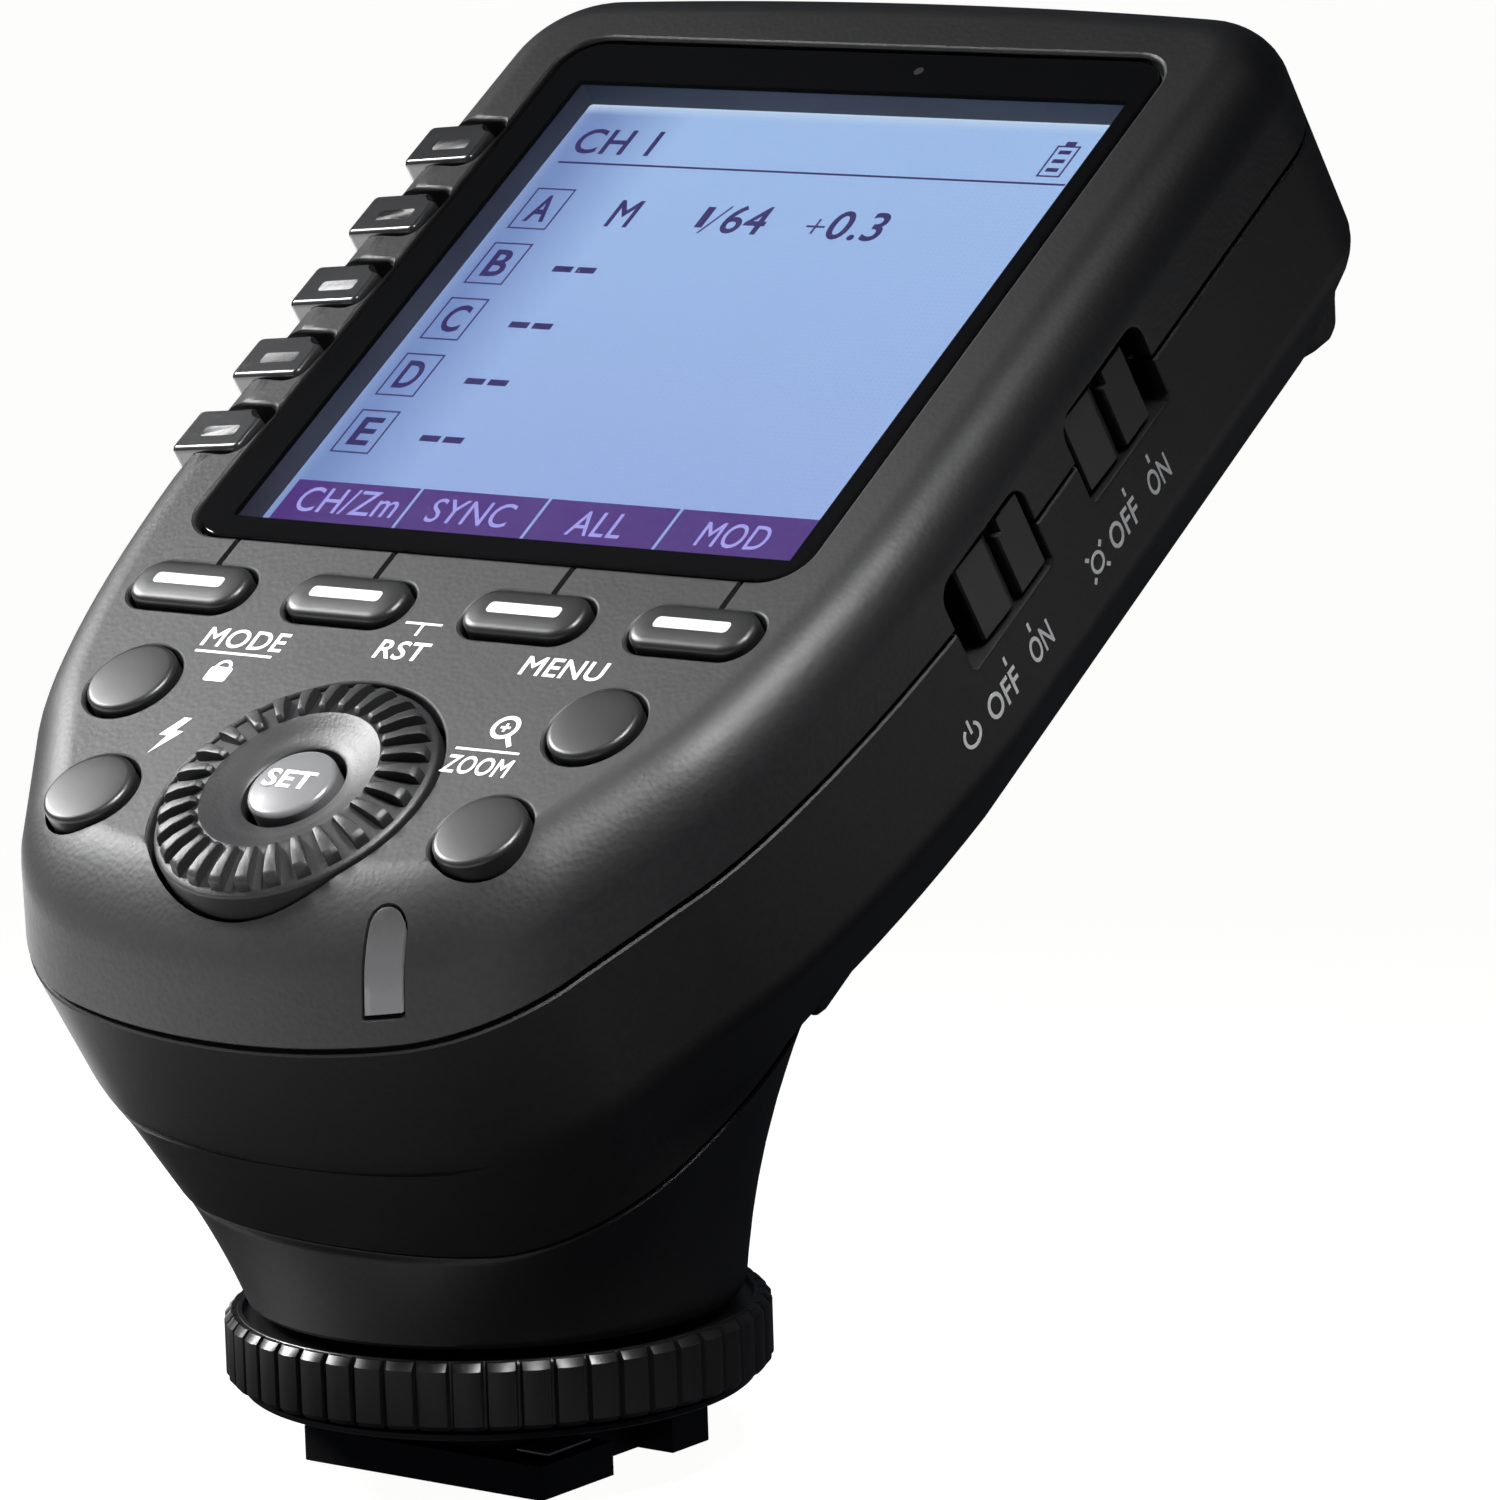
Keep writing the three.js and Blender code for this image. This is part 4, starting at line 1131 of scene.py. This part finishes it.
# ---- slide switches
def slider(y0, skirt0, skirt1):
    """The thumb piece: two pads parted by a groove that slopes in and steps out, on a skirt behind the wall."""
    z0, z1 = SEAM - SWITCH_HALF + THUMB_GAP, SEAM + SWITCH_HALF - THUMB_GAP
    mid = y0 + THUMB * THUMB_GROOVE
    side = [(y0, 26.9), (y0, 29.2), (y0 + 0.15, 29.35)]
    for k in range(9):
        t = k / 8
        side.append((mid - 1.15 + 1.1 * t, 29.5 - 0.75 * t * t))
    side += [(mid, 28.72), (mid + 0.08, 29.45), (mid + 0.2, 29.57), (y0 + THUMB - 0.15, 29.57),
             (y0 + THUMB, 29.42), (y0 + THUMB, 26.9)]
    outline = [Vector((x, -y)) for y, x in side]
    thumb = loft([[Vector((p.x, -p.y, z)) for p in outline] for z in (z0, z1)])
    carve(thumb, box(28.8, 30.5, mid - 0.6, mid + 0.62, z1 - 0.95, z1 + 1))
    soften(thumb, 0.09, 2, 30)
    skirt = box(26.4, 27.1, skirt0, skirt1, SEAM - 3.5, SEAM + 3.2)
    return joined("thumb", thumb, skirt)


low_y = SWITCH_LOW + SWITCH_LENGTH - THUMB - 0.3
for name, y0, skirt in (("power", low_y, (29.2, 41.8)), ("lamp", SWITCH_HIGH + 0.6, (42.6, 54.7))):
    thumb = slider(y0, *skirt)
    finish(thumb, f"{name}_thumb", f"{name}_slider", BUTTON, replaces=[f"{name}_switch"])


# ---- printed marks
face = Print(0.005)
face.text("MODE", -15.2, -8.9, 15.75, 1.65, BOLD)
face.bar(-15.2, -9.2, 15.2, 15.4)
face.shape(rounded_rect(-13.0, -11.3, 12.85, 14.1, 0.2, 3))
face.curve(-12.15, 14.1, 0.4, 0.62, 0, 180, 12)
face.shape([(-12.05, 9.6), (-12.95, 8.0), (-12.3, 8.0), (-12.75, 6.4), (-11.35, 8.45), (-12.0, 8.45),
            (-11.45, 9.6)])
face.text("RST", -1.95, 1.75, 16.1, 1.6, BOLD)
face.bar(-1.4, 1.4, 19.2, 19.38)
face.bar(-0.1, 0.1, 18.25, 19.2)
face.text("MENU", 9.3, 15.3, 15.85, 1.6, BOLD)
face.curve(11.3, 11.45, 0.68, 0.98)
face.stroke(11.9, 10.75, 12.5, 9.95, 0.32)
face.bar(10.95, 11.65, 11.36, 11.54)
face.bar(11.21, 11.39, 11.1, 11.8)
face.bar(8.9, 13.6, 9.35, 9.53)
face.text("ZOOM", 8.9, 13.7, 7.4, 1.5, BOLD)
face.done("face_marks", "housing", WHITE, "shell")


def wall_x(y):
    right = [p for p in BODY if p.x > 15 and 5 < p.y < 75]
    right.sort(key=lambda p: p.y)
    for a, b in zip(right, right[1:]):
        if a.y <= y <= b.y:
            return a.x + (b.x - a.x) * (y - a.y) / max(b.y - a.y, 1e-6)
    return HALF_W


def on_wall(co):
    """The mark's x runs up the body and its y towards the face."""
    return Vector((wall_x(co.x) + co.z, co.x, co.y))


wall = Print(0.005)
base = -14.15
wall.curve(27.6, base + 0.85, 0.62, 0.85, -235, 55, 28)
wall.bar(27.5, 27.7, base + 0.95, base + 1.95)
for word, x0, x1 in (("OFF", 29.45, 32.85), ("ON", 34.55, 36.95), ("OFF", 44.75, 48.1), ("ON", 49.7, 52.1)):
    wall.text(word, x0, x1, base, 1.75, BOLD)
for x in (32.2, 35.2, 47.4, 50.5):
    wall.bar(x, x + 0.22, base + 2.15, base + 2.75)
wall.curve(43.0, base + 0.85, 0.5, 0.72)
for k in range(4):
    turn = math.pi / 4 + k * math.pi / 2
    c, s = math.cos(turn), math.sin(turn)
    wall.stroke(43 + 0.95 * c, base + 0.85 + 0.95 * s, 43 + 1.35 * c, base + 0.85 + 1.35 * s, 0.26)
wall.done("wall_marks", "housing", WHITE, "shell", on_wall)


# ---- shoe mount
def lock_ring():
    profile = [(7.95, RING_BOTTOM), (15.9, RING_BOTTOM), (16.05, RING_BOTTOM + 0.15), (16.05, RING_TOP - 0.35),
               (15.95, RING_TOP - 0.12), (15.8, RING_TOP), (15.55, RING_TOP), (15.48, RING_TOP - 0.1),
               (15.42, RING_TOP - 0.35), (7.95, RING_TOP - 0.35)]
    base = washer(profile, 200)
    low, high = RING_BOTTOM + 0.02, RING_TOP - 0.02
    points = []
    side = [(-1.0, -0.62), (-0.86, -0.16), (-0.45, -0.03)]
    crest = side + [(0.0, 0.0)] + [(-a, r) for a, r in reversed(side)]
    for z, shrink in ((low, 0.28), (low + 0.3, 0.0), (high - 0.45, 0.0), (high, 0.42)):
        for a, r in crest:
            points.append(Vector((r - shrink * (1 + r), a * 0.95, z)))
    rib = hull(points)
    return repeated("lock_ring", base, rib, RING_RIBS, RING_GLOSS, radius=RING_R - 0.02)


finish(lock_ring(), "lock_ring_knurled", "ring", RING_GLOSS, ROW, ["lock_ring"], sharp=28)
disc = washer([(7.95, 4.75), (15.45, 4.75), (15.58, 4.85), (15.58, 5.15), (15.45, 5.25), (7.95, 5.25)], 128)
finish(disc, "clamp_plate", "clamp", RING_GLOSS, ROW, ["clamp_disc"])


def foot():
    half, y0, y1, t = 9.3, -7.9, 8.6, 2.1
    plate = prism(rounded_rect(-half, half, y0, y1, 0.35, 3), 0, t)
    block = prism(rounded_rect(-6.2, 6.2, -6.6, 6.6, 1.5, 6), 1, 4.3)
    waist = combine("INTERSECT", block, turned([(7.6, 0.5), (7.6, 5)], 64))
    stem = turned([(7.6, 4.1), (7.6, 14.8), (7.4, 15)], 64)
    combine("UNION", plate, waist, stem)
    carve(
        plate,
        box(6.6, 20, -1, 4.8, -1, t + 0.01), box(-20, -6.6, -1, 4.8, -1, t + 0.01),
        box(-6.5, 6.5, 4.6, 20, -1, 1.4),
        *[turned([(1.8, -1), (1.8, 1.5), (0.95, 1.6), (0.95, 20)], 40, x, 0) for x in (-4.4, 4.4)],
    )
    return soften(plate, 0.14, 2, 40)


finish(foot(), "foot_plate", "housing", LOWER, ROW, ["shoe_foot"])
block = box(-6.2, 6.2, 4.9, 8.3, 0.25, 1.1)
pad = soften(box(-0.3, 0.3, -1.5, 1.6, 0.02, 0.3), 0.06)
strip = repeated("contacts", block, pad, 8, GOLD, start=(-4.9, 6.6, 0.0), step=(1.4, 0.0, 0.0))
finish(strip, "shoe_contacts", "housing", GOLD, ROW, ["contact_block"])
leaf = soften(box(6.4, 8.8, -6.6, -2.4, 2.35, 2.55), 0.06)
finish(leaf, "ground_spring", "housing", STEEL, ROW, ["ground_leaf"])


# ---- battery door
def door():
    plate = combine("INTERSECT", bottom_skin(0, UNDERSIDE), box(-20.8, 20.8, 29.4, 90, -30, -22.9))
    soften(plate, 0.12, 2, 40)
    ridge = soften(box(-7, 7, -0.3, 0.3, UNDERSIDE - 0.02, UNDERSIDE + 0.3), 0.12, 2)
    whole = repeated("door", plate, ridge, 6, LOWER, start=(0.0, 66.0, 0.0), step=(0.0, 1.5, 0.0))
    barrels = []
    for x0, x1 in ((-19.4, -8.35), (8.35, 19.4)):
        rod = turned([(0.55, x0), (0.65, x0 + 0.1), (0.65, x1 - 0.1), (0.55, x1)], 24)
        rod.data.transform(Matrix.Translation((0, 29.4, -23.55)) @ Matrix.Rotation(math.pi / 2, 4, "Y"))
        barrels.append(rod)
    return joined("door", whole, *barrels)


finish(door(), "battery_cover", "door", LOWER, replaces=["battery_door"])


# ---- finishes of the CAD nodes that stay
for material, nodes in (
    (LOWER, "door_hinge_bar battery_tray dial_encoder"),
    (CREAM, "backlight_guide assist_led"),
    (BOARD, "main_board radio_board"),
    (RUBBER, "button_mat"),
    (STEEL, "power_switch_body lamp_switch_body usb_port antenna_can door_hinge_pin contact_plate_low"),
    (STEEL, "contact_plate_high_1 contact_plate_high_2 case_screw_1 case_screw_2 case_screw_3 case_screw_4"),
    (STEEL, "foot_screw_1 foot_screw_2"),
    (GOLD, "sync_jack"),
    (CELL, "battery_1 battery_2"),
    (LAMP_RED, "assist_window"),
):
    for node in nodes.split():
        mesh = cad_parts[node].data
        mesh.materials.clear()
        mesh.materials.append(material)


# ---- floor, light and camera
def stage():
    floor = prism(rounded_rect(-4.0, 4.0, -3.0, 5.0, 0.5, 6), -0.02, -0.0002, "floor")
    f = Finish("floor_pale", Roughness=0.6)
    cloud = f.noise(3.0, 2.0)
    f.set("Base Color", f.blend(cloud, (0.28, 0.28, 0.28, 1.0), (0.3, 0.3, 0.3, 1.0)))
    f.set("Emission Color", (0.9, 0.9, 0.885, 1.0))
    f.set("Emission Strength", 1.08)
    floor.data.materials.append(f.material)
    floor.visible_glossy = False
    floor.visible_diffuse = False
    floor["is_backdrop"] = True


def area_light(name, place, aim, size, power, color=(1, 1, 1), spread=180):
    data = bpy.data.lights.new(name, "AREA")
    data.shape = "RECTANGLE"
    data.size, data.size_y = size
    data.energy = power
    data.color = color
    data.spread = math.radians(spread)
    light = bpy.data.objects.new(name, data)
    bpy.context.scene.collection.objects.link(light)
    light.location = place
    light.visible_camera = False
    light.rotation_euler = (Vector(aim) - Vector(place)).to_track_quat("-Z", "Y").to_euler()


def camera():
    data = bpy.data.cameras.new("camera")
    data.sensor_width = 36
    data.lens = 188.36
    data.clip_end = 100
    made = bpy.data.objects.new("camera", data)
    bpy.context.scene.collection.objects.link(made)
    right = Vector((0.7963504, 0.6040639, -0.0305428))
    down = Vector((0.0804266, -0.1558070, -0.9845079))
    ahead = Vector((-0.5994645, 0.7815568, -0.1726598))
    turn = Matrix((right, -down, -ahead)).transposed().to_4x4()
    made.matrix_world = Matrix.Translation((0.294764, -0.357733, 0.124006)) @ turn
    bpy.context.scene.camera = made


stage()
world = bpy.data.worlds.new("studio")
bpy.context.scene.world = world
world.use_nodes = True
world.node_tree.nodes["Background"].inputs[0].default_value = (0.75, 0.8, 1.0, 1.0)
world.node_tree.nodes["Background"].inputs[1].default_value = 0.04
bpy.context.scene.view_settings.view_transform = "Standard"
area_light("left_box", (-0.32, -0.06, 0.27), (-0.01, -0.04, 0.03), (0.14, 0.14), 0.215, spread=46)
area_light("overhead", (0.14, -0.10, 0.33), (0.0, -0.05, 0.02), (0.09, 0.14), 0.15, spread=32)
area_light("right_table", (0.19, 0.2, 0.002), (0.19, 0.2, 1.0), (0.2, 0.24), 0.1)
area_light("left_table", (-0.17, -0.02, 0.002), (-0.17, -0.02, 1.0), (0.22, 0.3), 0.62)
area_light("front_table", (-0.02, -0.11, 0.002), (-0.02, -0.11, 1.0), (0.2, 0.1), 0.1)
camera()

{"cad": [list(v) for v in cad_box], "visual": [list(v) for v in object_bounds()]}
